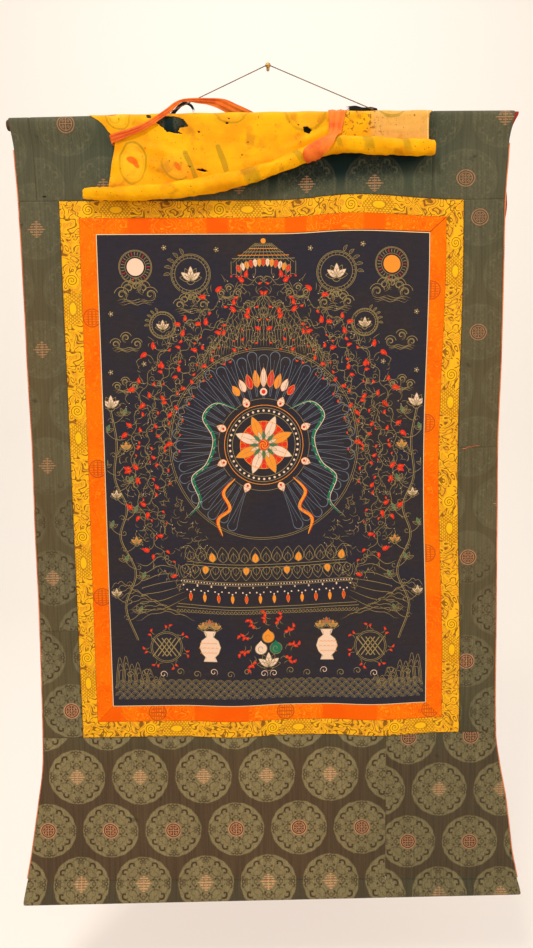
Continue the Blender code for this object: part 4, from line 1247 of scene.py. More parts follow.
@dataclass(frozen=True)
class DustCover:
    """Silk cover: a torn sheet over the heading, wound up along its lower edge."""

    thick: float = 0.0005
    cad_thick: float = 0.001
    start_angle: float = radians(64)
    columns: int = 132
    arc_rows: int = 8
    rows: int = 26
    turns: float = 4.3
    turn_rows: int = 30
    core: float = 0.0028
    slope_step: float = 0.002
    left: tuple[Station, ...] = tuple(Station(*row) for row in (
        (0.000, -0.323), (0.018, -0.2975), (0.034, -0.285), (0.041, -0.2773), (0.053, -0.274),
        (0.075, -0.2785), (0.111, -0.2855), (0.15, -0.2915)))
    right: tuple[Station, ...] = tuple(Station(*row) for row in (
        (0.000, 0.322), (0.01, 0.3137), (0.08, 0.3137)))
    roll: tuple[RollStation, ...] = tuple(RollStation(*row) for row in (
        (-0.333, 0.144, 0.021), (-0.269, 0.1462, 0.027), (-0.1735, 0.1425, 0.032), (-0.1025, 0.1339, 0.034),
        (-0.03, 0.1195, 0.032), (0.0336, 0.0998, 0.027), (0.0764, 0.0829, 0.029), (0.108, 0.0721, 0.031),
        (0.1449, 0.065, 0.033), (0.2002, 0.067, 0.034), (0.256, 0.0706, 0.031), (0.319, 0.0724, 0.031)))
    creases: tuple[Crease, ...] = tuple(Crease(*row) for row in (
        (-0.23, 0.03, 0.1, -0.03, 0.012, 0.0036), (-0.215, 0.062, 0.09, 0.018, 0.011, 0.0034),
        (-0.205, 0.092, 0.08, 0.05, 0.012, 0.003), (-0.165, 0.052, 0.05, 0.045, 0.007, 0.0024),
        (-0.15, 0.066, 0.05, 0.05, 0.005, -0.0018), (0.085, 0.05, 0.06, -0.026, 0.014, 0.0034),
        (0.1, 0.034, 0.05, -0.022, 0.008, -0.0022), (0.06, 0.078, 0.05, -0.02, 0.009, 0.0022),
        (0.02, 0.06, 0.07, 0.012, 0.022, -0.0014), (-0.12, 0.085, 0.05, 0.03, 0.01, 0.0012),
        (-0.06, 0.05, 0.06, 0.01, 0.009, -0.001), (0.25, 0.035, 0.05, 0.004, 0.008, 0.001),
        (0.14, 0.022, 0.05, -0.008, 0.008, 0.0009), (-0.02, 0.09, 0.05, -0.014, 0.008, 0.0011)))
    tears: tuple[tuple[Pair, ...], ...] = (
        ((-0.1969, 0.0153), (-0.1809, 0.0042), (-0.1612, 0.0052), (-0.1457, 0.0107),
         (-0.1394, 0.0179), (-0.1368, 0.0242), (-0.1518, 0.0267), (-0.1557, 0.0327),
         (-0.1452, 0.0385), (-0.1766, 0.0335), (-0.1816, 0.028)),
        ((-0.2145, 0.0014), (-0.2062, 0.0014), (-0.2053, 0.0081), (-0.2136, 0.008)),
        ((0.0777, 0.0281), (0.0852, 0.0273), (0.0944, 0.0337), (0.0888, 0.0408),
         (0.0795, 0.0371)),
        ((-0.1229, 0.1012), (-0.112, 0.1003), (-0.1009, 0.1055), (-0.1095, 0.1062), (-0.121, 0.1035)),
        ((-0.139, 0.0945), (-0.133, 0.096), (-0.1345, 0.0985)),
    )
    moth_holes: tuple[Triple, ...] = ((-0.1165, 0.0341, 0.0024), (-0.0254, 0.0533, 0.0016),
            (-0.037, 0.0765, 0.0018), (-0.064, 0.019, 0.003),
            (-0.06, 0.011, 0.0018), (0.069, 0.024, 0.0016))

    @property
    def out(self) -> float:
        """How far the middle of the hanging sheet stands out."""
        return HANG.top_rod_out + HANG.top_sleeve + 0.001

    def middle(self, across: float) -> Triple:
        """Drop, distance out and radius of the roll."""
        keys = column(self.roll, "across")
        radius = through(keys, column(self.roll, "diameter"), across) / 2
        return through(keys, column(self.roll, "drop"),
                across), self.out + radius - self.cad_thick / 2, radius

    def roll_place(self, across: float, angle: float, clearance: float) -> Triple:
        """Place around the roll, square to its slope, at an angle up from its front."""
        drop, out, radius = self.middle(across)
        ahead, behind = (self.middle(across + way * self.slope_step)[0] for way in (1, -1))
        slope = atan2(ahead - behind, 2 * self.slope_step)
        reach = radius + clearance
        up = reach * sin(angle)
        return across + up * sin(slope), drop - up * cos(slope), out + reach * cos(angle)

    def side(self, drop: float, s: float) -> float:
        """Place across, a share s from the left edge to the right."""
        return lerp(*(through(column(t, "drop"), column(t, "across"), drop) for t in (self.left, self.right)),
                s)

    def wrinkle(self, across: float, angle: float) -> float:
        """Height of the roll's wrinkles: rings at its left end, slanting ones along it."""
        rings = 0.0013 * sin(across * 520 + 1.2 * sin(angle)) * bell((across + 0.3) / 0.04)
        slant = (0.0007 * sin(across * 85 + 2 * angle) + 0.00045 * sin(across * 210 - 3 * angle + 1)
                + 0.0005 * sin(across * 37 + 4 * angle) + 0.0004 * sin(across * 330 + 5 * angle))
        return rings + slant * (1 - 0.7 * bell((across - 0.105) / 0.05))

    def spots(self) -> list[list[Spot]]:
        """Rows of spots: over the sleeve, down to the roll and round it."""
        reach = self.out - HANG.top_rod_out
        ends = [self.middle(table[-1].across)[0] for table in (self.left, self.right)]
        rows = []
        for j in range(self.arc_rows):
            angle = self.start_angle * (1 - j / self.arc_rows)
            height = HANG.top_sleeve - reach * sin(angle)
            row = []
            for i in range(self.columns + 1):
                across = self.side(max(height, 0.0), i / self.columns)
                ripple = 0.0005 * sin(across * 90) * (1 - j / self.arc_rows)
                row.append(Spot(across, HANG.top_drop(across) + height - ripple,
                        HANG.top_rod_out + reach * cos(angle), angle, (across, height)))
            rows.append(row)
        for j in range(self.rows):
            t = j / self.rows
            left_drop, right_drop = (lerp(HANG.top_sleeve, end, t) for end in ends)
            row = []
            for i in range(self.columns + 1):
                s = i / self.columns
                across = lerp(self.side(left_drop, 0), self.side(right_drop, 1), s)
                drop = lerp(HANG.top_drop(across) + HANG.top_sleeve, self.middle(across)[0], t)
                fade = smooth(3 * t) * (1 - smooth(4 * t - 3))
                lift = ridges(self.creases, across, drop) * fade + self.lift(across, drop)
                edge = 0.0012 * bell(s * 14) * sin(drop * 160) * smooth(4 * t)
                row.append(Spot(across, drop, self.out + lift + edge, 0.0, (across, drop)))
            rows.append(row)
        last = [spot for spot in rows[-1]]
        steps = round(self.turns * self.turn_rows)
        run = [0.0] * (self.columns + 1)
        for j in range(steps + 1):
            turn = tau * j / self.turn_rows
            row = []
            for i, spot in enumerate(last):
                s = i / self.columns
                start = lerp(self.side(ends[0], 0), self.side(ends[1], 1), s)
                across = lerp(start, lerp(self.roll[0].across, self.roll[-1].across, s),
                        smooth(2 * turn / pi))
                radius = self.middle(across)[2]
                shrink = (radius - self.core) * j / steps
                wave = self.wrinkle(across, turn) * smooth(turn) * (1 - 0.6 * smooth(turn - 6))
                ragged = 0.0012 * sin(1.7 * turn + 1) * (bell(s * 12) - bell((1 - s) * 12))
                place = self.roll_place(across, pi + turn, wave - shrink - 0.0004)
                run[i] += (radius - shrink) * tau / self.turn_rows
                row.append(Spot(place[0] + ragged, place[1], place[2], turn,
                        (across, spot.cloth[1] + run[i])))
            rows.append(row)
        return rows

    def lift(self, across: float, drop: float) -> float:
        """How far the torn edges stand off."""
        lift = 0.0
        for tear in self.tears:
            near = min(gap((across, drop), a, b) for a, b in zip(tear, tear[1:] + tear[:1]))
            lift = max(lift, 0.0013 * (1 - smooth(near / 0.007)))
        return lift

    def cutter(self, name: str, outline: Sequence[Pair]) -> Piece:
        """Ragged helper that cuts one tear."""
        chance = random.Random(name)
        made = PieceMesh(name)
        points = []
        for a, b in zip(outline, outline[1:] + outline[:1]):
            count = max(round(dist(a, b) / 0.0016), 1)
            for k in range(count):
                jag = 0.0 if k == 0 else chance.uniform(-0.0007, 0.0007)
                x, y = lerp(a[0], b[0], k / count), lerp(a[1], b[1], k / count)
                points.append((x + jag * (b[1] - a[1]) / dist(a, b), y - jag * (b[0] - a[0]) / dist(a, b)))
        near = [made.add(HANG.place(a, d, self.out + 0.01)) for a, d in points]
        far = [made.add(HANG.place(a, d, self.out - 0.006)) for a, d in points]
        made.faces += [tuple(near), tuple(reversed(far))]
        made.faces += [(a, far[k], far[(k + 1) % len(far)], near[(k + 1) % len(near)])
                for k, a in enumerate(near)]
        return made.build(bpy.data.materials[Slot.SILK.value])

    def build(self, material: Material) -> Piece:
        """Build the cover and cut its tears and moth holes."""
        made = PieceMesh("dust_cover")
        spots = self.spots()
        made.shell([[s.at(self.thick / 2) for s in row] for row in spots],
                [[s.at(-self.thick / 2) for s in row] for row in spots],
                [[s.cloth for s in row] for row in spots])
        piece = made.build(material)
        outlines = list(self.tears)
        for across, drop, radius in self.moth_holes:
            outlines.append(tuple((across + radius * cos(t), drop + 0.7 * radius * sin(t))
                    for t in (0.0, 0.9, 1.9, 2.7, 3.8, 4.6, 5.5)))
        for k, outline in enumerate(outlines):
            cut(piece, self.cutter(f"tear {k}", outline))
        fit(piece, Slot.SILK.value, "dust_cover")
        middle = [[s.at(0.0) for s in row] for row in spots]
        width = sum(arc_length(row) for row in middle) / len(middle)
        length = sum(arc_length(line) for line in zip(*middle)) / len(middle[0])
        LOG.info("dust_cover: flat %.3f x %.3f m", width, length)
        return piece


def gap(point: Pair, a: Pair, b: Pair) -> float:
    """Distance of a point from the line between two others."""
    run = (b[0] - a[0], b[1] - a[1])
    t = ((point[0] - a[0]) * run[0] + (point[1] - a[1]) * run[1]) / (run[0] ** 2 + run[1] ** 2)
    t = min(max(t, 0.0), 1.0)
    return dist(point, (a[0] + t * run[0], a[1] + t * run[1]))


def cut(piece: Piece, helper: Piece) -> None:
    """Cut a helper away from a piece, and drop the helper."""
    modifier = piece.modifiers.new("cut", "BOOLEAN")
    modifier.operation = "DIFFERENCE"
    modifier.object = helper
    modifier.solver = "MANIFOLD"
    mesh = bpy.data.meshes.new_from_object(piece.evaluated_get(bpy.context.evaluated_depsgraph_get()))
    piece.modifiers.clear()
    piece.data = mesh
    bpy.data.objects.remove(helper, do_unlink=True)


class Band(NamedTuple):
    """The two edges of a ribbon at one place along it."""

    edge_a: Triple
    edge_b: Triple


class Wrap(NamedTuple):
    """Angle, in degrees, and the two edges of a ribbon where it lies round something."""

    angle: float
    across_a: float
    across_b: float

    def row(self, point_at: Callable[[float, float, float], Triple], clearance: float) -> Band:
        """Band row that lies round the sleeve or the roll."""
        angle = radians(self.angle)
        return Band(point_at(self.across_a, angle, clearance), point_at(self.across_b, angle, clearance))


def sleeve_place(across: float, angle: float, clearance: float) -> Triple:
    """Place around the top sleeve, at an angle up from its front."""
    reach = HANG.top_sleeve + clearance
    return (across, HANG.top_drop(across) + HANG.top_sleeve - reach * sin(angle),
            HANG.top_rod_out + reach * cos(angle))


@dataclass(frozen=True)
class Strap:
    """Narrow band of cloth with creases along it."""

    rows: tuple[Band, ...]
    thick: float
    steps: int = 8
    columns: int = 14
    creases: tuple[Pair, ...] = ((0.2, 0.0009), (0.4, -0.001), (0.62, 0.0011), (0.82, -0.0007))
    crease_width: float = 0.09
    fringe: int = 0

    def add_to(self, made: PieceMesh) -> Pair:
        """Add the band to a piece.

        Args:
            made: The piece's mesh.

        Returns:
            Its width and length.
        """
        keys = list(range(len(self.rows)))
        count = (len(self.rows) - 1) * self.steps
        edges = []
        for n in range(count + 1):
            x = n / self.steps
            edges.append(tuple(HANG.place(*(through(keys, [row[e][k] for row in self.rows], x)
                    for k in range(3)))
                    for e in (0, 1)))
        upper, lower, cloth = [], [], []
        run, widths = 0.0, []
        for k, (a, b) in enumerate(edges):
            before, after = edges[max(k - 1, 0)], edges[min(k + 1, count)]
            along = (after[0] + after[1]) - (before[0] + before[1])
            face = along.cross(b - a).normalized()
            width = (b - a).length
            widths.append(width)
            run += ((a + b) / 2 - sum(edges[k - 1], Vector()) / 2).length if k else 0.0
            points = []
            for j in range(self.columns + 1):
                s = j / self.columns
                wander = 0.05 * sin(run * 60)
                lift = sum(h * bell((s - at - wander) / self.crease_width) for at, h in self.creases)
                points.append(a.lerp(b, s) + face * lift * min(1.0, width / 0.012))
            upper.append([p + face * self.thick / 2 for p in points])
            lower.append([p - face * self.thick / 2 for p in points])
            cloth.append([(j / self.columns * width, run) for j in range(self.columns + 1)])
        made.shell(upper, lower, cloth)
        self.fray(made, upper, lower)
        return sum(widths) / len(widths), run

    def fray(self, made: PieceMesh, upper: Grid, lower: Grid) -> None:
        """Add loose threads at the band's far end."""
        chance = random.Random(self.fringe)
        for n in range(self.fringe):
            s = (n + 0.5) / self.fringe * self.columns
            j = min(int(s), self.columns - 1)
            start = (upper[-1][j].lerp(upper[-1][j + 1], s - j)
                    + lower[-1][j].lerp(lower[-1][j + 1], s - j)) / 2
            along = (upper[-1][j] - upper[-3][j]).normalized()
            side = (upper[-1][-1] - upper[-1][0]).normalized()
            reach, lean = chance.uniform(0.002, 0.006), chance.uniform(-0.6, 0.6)
            path = [start + along * (reach * t - 0.0006) + side * lean * reach * t * t
                    + Vector((0, 0, -0.25 * reach * t * t)) for t in (0.0, 0.35, 0.7, 1.0)]
            made.tube(path, lambda k, turn: 0.00018, 5)


@dataclass(frozen=True)
class Ribbons:
    """Two cover ribbons: the left one arches over the top edge, the right one holds the roll."""

    thick: float = 0.0005
    root: Wrap = Wrap(128, -0.006, -0.05)
    left: tuple[Band, ...] = tuple(Band(*row) for row in (
        ((-0.0167, -0.0085, 0.01), (-0.065, -0.007, 0.0085)),
        ((-0.0441, -0.0199, 0.0135), (-0.083, -0.0148, 0.012)),
        ((-0.0694, -0.0289, 0.017), (-0.1016, -0.0207, 0.0135)),
        ((-0.1009, -0.0301, 0.0195), (-0.1202, -0.0227, 0.0155)),
        ((-0.1231, -0.0295, 0.022), (-0.1331, -0.0235, 0.0195)),
        ((-0.1452, -0.0264, 0.026), (-0.1476, -0.0221, 0.0225)),
        ((-0.1615, -0.0182, 0.031), (-0.1564, -0.0131, 0.0285)),
        ((-0.1819, -0.0021, 0.035), (-0.1767, 0.0056, 0.034)),
        ((-0.2176, 0.0192, 0.0365), (-0.2142, 0.029, 0.0365)),
        ((-0.2476, 0.0294, 0.0365), (-0.2462, 0.0419, 0.0365)),
        ((-0.2705, 0.0352, 0.0362), (-0.266, 0.05, 0.0362)),
        ((-0.2835, 0.0385, 0.031), (-0.28, 0.0535, 0.031)),
        ((-0.27, 0.045, 0.0248), (-0.269, 0.058, 0.0248)), ((-0.24, 0.053, 0.024), (-0.24, 0.067, 0.024)),
        ((-0.205, 0.062, 0.0238), (-0.205, 0.076, 0.0238))))
    right_top: tuple[Wrap, ...] = tuple(Wrap(*row) for row in (
        (98, 0.1261, 0.1618), (70, 0.1261, 0.1618), (40, 0.1258, 0.16), (10, 0.1256, 0.156)))
    right_hang: tuple[Band, ...] = tuple(Band(*row) for row in (
        ((0.1258, 0.03, 0.033), (0.1508, 0.03, 0.033)), ((0.1243, 0.043, 0.0385), (0.1478, 0.043, 0.0385))))
    right_wrap: tuple[Wrap, ...] = tuple(Wrap(*row) for row in (
        (75, 0.12, 0.1465), (50, 0.1035, 0.142), (25, 0.083, 0.137), (0, 0.0755, 0.1325),
        (-25, 0.0735, 0.125), (-50, 0.074, 0.116), (-75, 0.0765, 0.106), (-105, 0.0785, 0.103),
        (-135, 0.079, 0.102), (-160, 0.0795, 0.1015)))

    def build(self, cover: DustCover, material: Material) -> None:
        """Build both ribbons."""
        left = (self.root.row(sleeve_place, 0.0012), *self.left)
        right = (*(w.row(sleeve_place, 0.003) for w in self.right_top), *self.right_hang,
                *(w.row(cover.roll_place, 0.0016) for w in self.right_wrap))
        for name, rows in (("ribbon_left", left), ("ribbon_right", right)):
            made = PieceMesh(name)
            size = Strap(rows, self.thick, fringe=0).add_to(made)
            piece = fit(made.build(material), Slot.RIBBON.value, name)


@dataclass(frozen=True)
class Ties:
    """Dark ties round the top sleeve, each with one loose frayed tail."""

    thick: float = 0.001
    width: float = 0.013
    start: float = 76
    end: float = 205
    steps: int = 10
    left_across: float = -0.171
    right_across: float = 0.203
    left_tail: tuple[Band, ...] = tuple(Band(*row) for row in (
        ((-0.174, -0.0036, 0.0135), (-0.1705, -0.001, 0.0105)),
        ((-0.1685, -0.008, 0.0135), (-0.164, -0.0048, 0.0105)),
        ((-0.1625, -0.014, 0.0135), (-0.1585, -0.0105, 0.0105)),
        ((-0.155, -0.0215, 0.0132), (-0.1522, -0.0165, 0.0105)),
        ((-0.147, -0.0262, 0.0128), (-0.1462, -0.0212, 0.0102)),
        ((-0.1388, -0.0262, 0.0122), (-0.1392, -0.022, 0.0098)),
        ((-0.131, -0.0225, 0.0115), (-0.1335, -0.019, 0.0092)),
        ((-0.1268, -0.0165, 0.011), (-0.13, -0.014, 0.0088))))
    right_tail: tuple[Band, ...] = tuple(Band(*row) for row in (
        ((0.219, -0.0026, 0.0192), (0.2175, -0.0085, 0.0155)),
        ((0.206, -0.002, 0.019), (0.2055, -0.0112, 0.0155)),
        ((0.193, -0.0034, 0.019), (0.1925, -0.0104, 0.0152)),
        ((0.178, -0.003, 0.0188), (0.1775, -0.014, 0.015)),
        ((0.1655, -0.004, 0.0185), (0.165, -0.0132, 0.0148))))

    def build(self, material: Material) -> None:
        """Build both ties."""
        clearance = HANG.sleeve_gap + self.thick / 2 + 0.0003
        for name, middle, tail in (("tie_left", self.left_across, self.left_tail),
                ("tie_right", self.right_across, self.right_tail)):
            edges = (middle - self.width / 2, middle + self.width / 2)
            wrap = tuple(Wrap(lerp(self.start, self.end, k / self.steps), *edges).row(sleeve_place, clearance)
                    for k in range(self.steps + 1))
            made = PieceMesh(name)
            width, length = Strap(wrap, self.thick, steps=2).add_to(made)
            _, more = Strap(tail, self.thick, steps=5, fringe=13).add_to(made)
            piece = fit(made.build(material), Slot.TIE.value, name)
            length + more


@dataclass(frozen=True)
class HangingCord:
    """Two-ply cord, taut from tie to tie over the nail, with a knot at each tie."""

    diameter: float = 0.002
    nail_radius: float = 0.003
    on_nail_out: float = 0.0105
    clearance: float = 0.0003
    left_end: Triple = (-0.1735, -0.006, 0.0175)
    right_end: Triple = (0.2079, -0.005, 0.0212)
    points: int = 420
    lay: float = 0.0062
    arc_steps: int = 8

    def route(self) -> list[Triple]:
        """Centre line of the cord, over the nail's shank."""
        radius = self.nail_radius + self.diameter / 2 + self.clearance

        def tangent(end: Triple, side: int) -> float:
            """Angle at which the cord leaves the nail."""
            run, fall = (end[0] - HANG.nail_across) * side, end[1] - HANG.nail_drop
            lean = atan2(fall, run) + asin(radius / hypot(run, fall))
            return pi / 2 - side * lean

        start, stop = tangent(self.left_end, -1), tangent(self.right_end, 1)
        made = [self.left_end]
        for k in range(self.arc_steps + 1):
            angle = lerp(start, stop, k / self.arc_steps)
            made.append((HANG.nail_across + radius * cos(angle), HANG.nail_drop - radius * sin(angle),
                    self.on_nail_out))
        return made + [self.right_end]

    def even(self) -> list[Vector]:
        """Points at even spacing along the route."""
        route = [HANG.place(*p) for p in self.route()]
        total = arc_length(route)
        made, left, i = [], 0.0, 0
        for k in range(self.points):
            left = total * k / (self.points - 1)
            i = 0
            while i < len(route) - 2 and left > (route[i + 1] - route[i]).length:
                left -= (route[i + 1] - route[i]).length
                i += 1
            made.append(route[i].lerp(route[i + 1], min(left / (route[i + 1] - route[i]).length, 1.0)))
        return made

    def build(self, material: Material) -> None:
        """Build the cord with its knots."""
        path = self.even()
        length = arc_length(path)
        made = PieceMesh("hanging_cord")
        offset = self.diameter * 0.27
        for ply in (0, 1):
            strand, run = [], 0.0
            for k, centre in enumerate(path):
                along = (path[min(k + 1, len(path) - 1)] - path[max(k - 1, 0)]).normalized()
                first = (Vector((0, -1, 0)) + along * along.y).normalized()
                second = along.cross(first)
                turn = tau * length * k / (len(path) - 1) / self.lay + pi * ply
                strand.append(centre + offset * (cos(turn) * first + sin(turn) * second))
            made.tube(strand, lambda k, turn: self.diameter * 0.27, 8)
        knots = PieceMesh("cord_knots")
        for end in (path[0], path[-1]):
            for n, (tilt, radius) in enumerate(((0.5, 0.0019), (-0.4, 0.0021), (1.3, 0.0018))):
                loop = [end + Vector((radius * cos(t) * cos(tilt), radius * sin(t) - 0.0006,
                        radius * cos(t) * sin(tilt) + 0.0008 * n - 0.0004))
                        for t in (tau * k / 20 for k in range(21))]
                knots.tube(loop, lambda k, turn: 0.0009, 8, up=Vector((0, 0, 1)))
        piece = fit(made.build(material), Slot.CORD.value, "hanging_cord")
        tied = fit(knots.build(material), Slot.CORD.value)
        LOG.info("hanging_cord: %.4f m", length)
        tuple(path[0])
        [tuple(p) for p in path]


@dataclass(frozen=True)
class WallNail:
    """Round brass nail with a low domed head."""

    shank: float = 0.003
    length: float = 0.02
    head: float = 0.005
    head_thick: float = 0.0022
    sides: int = 40

    def build(self, material: Material) -> None:
        """Build the nail."""
        start = self.length - self.head_thick
        profile = [(0.0, self.shank), (start - 0.0012, self.shank), (start - 0.0003, self.shank * 1.15),
                (start, self.head * 0.9), (start + 0.0002, self.head), (start + 0.0007, self.head)]
        for k in range(1, 9):
            turn = pi / 2 * k / 8
            profile.append((start + 0.0007 + (self.head_thick - 0.0007) * sin(turn),
                    max(self.head * cos(turn), 0.0003)))
        made = PieceMesh("wall_nail")
        path = [HANG.place(HANG.nail_across, HANG.nail_drop, out) for out, _ in profile]
        made.tube(path, lambda k, turn: profile[k][1], self.sides, up=Vector((0, 0, 1)))
        fit(made.build(material), Slot.BRASS.value, "wall_nail")


class Ring(NamedTuple):
    """Circle line of a woven motif, in roundel radii: all of it, its outer half (1) or its inner half (-1)."""

    p: float
    q: float
    radius: float
    width: float
    depth: float
    half: int = 0


@dataclass(frozen=True)
class Brocade:
    """Green silk brocade: rows of roundels with worn copper medallions, fainter toward the top, partly faded
    and partly painted sheen.
    """

    slot: Slot = Slot.BROCADE
    ground_top: Triple = (80, 78, 59)
    ground_side: Triple = (90, 78, 53)
    ground_low: Triple = (82, 65, 46)
    green: Triple = (62, 72, 56)
    # Near black: unfaded cloth, darkened further by painted shadow under the rolled cover.
    unfaded_and_shadow: Triple = (16, 33, 31)
    roundel: Triple = (136, 122, 84)
    roundel_high: Triple = (112, 107, 80)
    line: Triple = (66, 50, 34)
    copper: Triple = (210, 154, 110)
    copper_high: Triple = (168, 124, 86)
    medal_ground: Triple = (92, 48, 34)
    bare: tuple[Triple, ...] = ((-0.4228, 0.133, 0.034), (0.3228, 0.007, 0.034), (0.399, 0.612, 0.05),
            (0.45, 0.945, 0.036), (-0.442, 1.048, 0.032), (0.448, 1.158, 0.032))
    # Place of a slit in the brocade, coloured near black as painted shade inside it.
    slit_shade: Pair = (-0.4278, 0.1435)
    radius: float = 0.0585
    rings: tuple[Ring, ...] = tuple(Ring(*row) for row in (
        (0.43, 0.43, 0.235, 0.026, 0.55, -1), (0.64, 0.4, 0.1, 0.046, 1.0, 1),
        (0.655, 0.33, 0.000, 0.052, 1.0), (0.5, 0.5, 0.075, 0.03, 0.6, 1), (0.42, 0.3, 0.1, 0.022, 0.4, 1),
        (0.335, 0.115, 0.0, 0.052, 1.0), (0.56, 0.125, 0.0, 0.052, 0.95),
        (0.45, 0.165, 0.07, 0.034, 0.75, -1), (0.45, 0.0, 0.06, 0.03, 0.55),
        (0.72, 0.19, 0.135, 0.022, 0.42), (0.885, 0.00, 0.05, 0.034, 0.8),
        (0.87, 0.13, 0.05, 0.036, 0.85, 1), (0.78, 0.06, 0.045, 0.03, 0.6),
        (0.8, 0.42, 0.1, 0.022, 0.35, -1), (0.00, 0.00, 0.285, 0.02, 0.35)))

    def lattice(self, g: Graph, u: Socket, v: Socket, shift: float) -> tuple[Socket, Socket]:
        """Place within the nearest roundel of every second row."""
        x = ((u / LOOM_PITCH + shift + 0.5).fraction() - 0.5) * LOOM_PITCH
        y = ((v / (2 * LOOM_ROW) + shift + 0.5).fraction() - 0.5) * (2 * LOOM_ROW)
        return x / self.radius, y / self.radius

    def material(self) -> Material:
        """Make the material."""
        g = Graph(self.slot.value)
        u, v = g.cloth()
        across, _, height = g.place()
        drop = -0.087 - height
        wobble = g.noise(g.vector(u, v), 60.0, 1.0) * 0.0012 - 0.0006
        first = self.lattice(g, u + wobble, v + wobble, 0.0)
        second = self.lattice(g, u + wobble, v + wobble, 0.5)
        reach = [g.distance(g.vector(*pair), (0.0, 0.0, 0.0)) for pair in (first, second)]
        odd = reach[1] < reach[0]
        x, y = (a + (b - a) * odd for a, b in zip(first, second))
        r = reach[0].low(reach[1])
        p, q = abs(x).high(abs(y)), abs(x).low(abs(y))
        lines = g.rings(g.vector(p, q), self.rings)
        grain = g.noise(g.vector(u * 1.0, v * 0.22), 900.0, 2.0)
        lobes = (y.math("ARCTAN2", x) * 16).sin() * 0.007
        mesh = g.noise(g.vector(u, v), 620.0, 1.0)
        disc = (r + lobes + (mesh - 0.5) * 0.09).step(1.0, 0.965)
        tracery = abs((g.noise(g.vector(p, q), 8.0, 0.6, 0.6) * 7.0).fraction() - 0.5).step(0.24, 0.1)
        streak = g.noise(g.vector(u, v * 0.03), 260.0, 3.0)
        blotch = g.noise(g.vector(across, height * 0.6), 7.0, 4.0)
        # share and filled make the roundels stronger toward the bottom. This is partly real fading higher up
        # and partly painted sheen that washes them out there.
        share = drop.step(0.3, 1.3)
        base = g.mix(seen(*self.ground_top), seen(*self.ground_side), drop.step(0.05, 0.45))
        base = g.mix(base, seen(*self.ground_low), drop.step(1.1, 1.32))
        base = g.mix(base, seen(*self.green), self.green_zone(g, across, drop) * (0.55 + 0.5 * blotch))
        # Painted shadow of the rolled cover on the heading, mixed with the darker unfaded cloth beneath it.
        covered_and_shadowed = (drop.step(0.15, 0.105) * across.step(-0.3, -0.24) * across.step(0.33, 0.27)
                * (drop + across * 0.22).step(0.19, 0.14))
        base = g.mix(base, seen(*self.unfaded_and_shadow), covered_and_shadowed)
        filled = ((drop - across * 0.18).step(0.52, 1.14) * 0.85 + drop.step(1.18, 1.25) * 0.9
                + (blotch - 0.5) * 0.3).high(0.0).low(1.0)
        pale = g.mix(seen(*self.roundel_high), seen(*self.roundel), share * 0.4 + drop.step(1.18, 1.25) * 0.6)
        colour = g.mix(base, pale, disc * filled * (0.96 - 0.38 * tracery))
        threads = g.mix(seen(*self.roundel_high), seen(*self.line), filled.step(0.15, 0.38))
        outline = lines.high((tracery * 0.6).high(abs(r - 0.95).step(0.05, 0.02) * 0.4) * (1 - filled))
        colour = g.mix(colour, threads,
                outline * disc * (0.36 + 0.12 * share + 0.48 * filled.step(0.18, 0.5)))
        shown = blotch.step(0.3, 0.42)
        for at, down, reach in self.bare:
            shown = shown * g.distance(g.vector(across, drop), (at, down, 0.0)).step(reach, reach + 0.002)
        medal = odd * r.step(0.29, 0.27) * (0.3 + 0.6 * share) * shown
        colour = g.mix(colour, seen(*self.medal_ground), medal)
        copper = g.mix(seen(*self.copper_high), seen(*self.copper), drop.step(0.6, 1.2))
        colour = g.mix(colour, copper, self.copper_share(g, x, y, r, odd, grain, mesh) * shown)
        dark = (streak - 0.5) * 0.85 + (grain - 0.5) * 0.4 + (blotch - 0.5) * 0.3
        deeper = across.step(0.05, 0.35) * drop.step(0.95, 1.25)
        colour = g.mix(colour, seen(*self.green), deeper * 0.22)
        colour = g.shade(colour, 1.0 + dark - deeper * 0.1)
        stains_and_slit_shade = g.noise(g.vector(across, height), 22.0, 5.0).step(0.66, 0.74) * 0.5
        # The slit is painted near black as painted shade inside the cut, and is mixed in with the real stains.
        slit_shade = g.distance(g.vector(across, drop * 2.2), (self.slit_shade[0], self.slit_shade[1] * 2.2, 0.0)).step(0.0052,
                0.003)
        stains_and_slit_shade = stains_and_slit_shade.high(slit_shade)
        colour = g.mix(colour, seen(34, 33, 27), stains_and_slit_shade)
        weave = g.weave(u, v, 0.00075, 0.6)
        normal = g.bump(weave * 0.6 + disc * lines * 0.4 + grain * 0.4, 0.00025, 0.5)
        rough = 0.62 + (disc * -0.1) + (grain - 0.5) * 0.15
        return g.finish(colour, rough, normal, specular=0.08)

    def green_zone(self, g: Graph, across: Socket, drop: Socket) -> Socket:
        """Less faded cloth: round the cover, in the bottom sleeve and beside the lower border."""
        beneath = drop.step(0.175, 0.12) * across.step(-0.42, -0.25) * across.step(0.4, 0.27)
        sleeve = drop.step(1.53, 1.54) * 0.35
        rim = drop.step(1.262, 1.228) * drop.step(0.15, 0.2) * abs(across).step(0.47, 0.4) * 0.22
        return beneath.high(sleeve).high(rim)

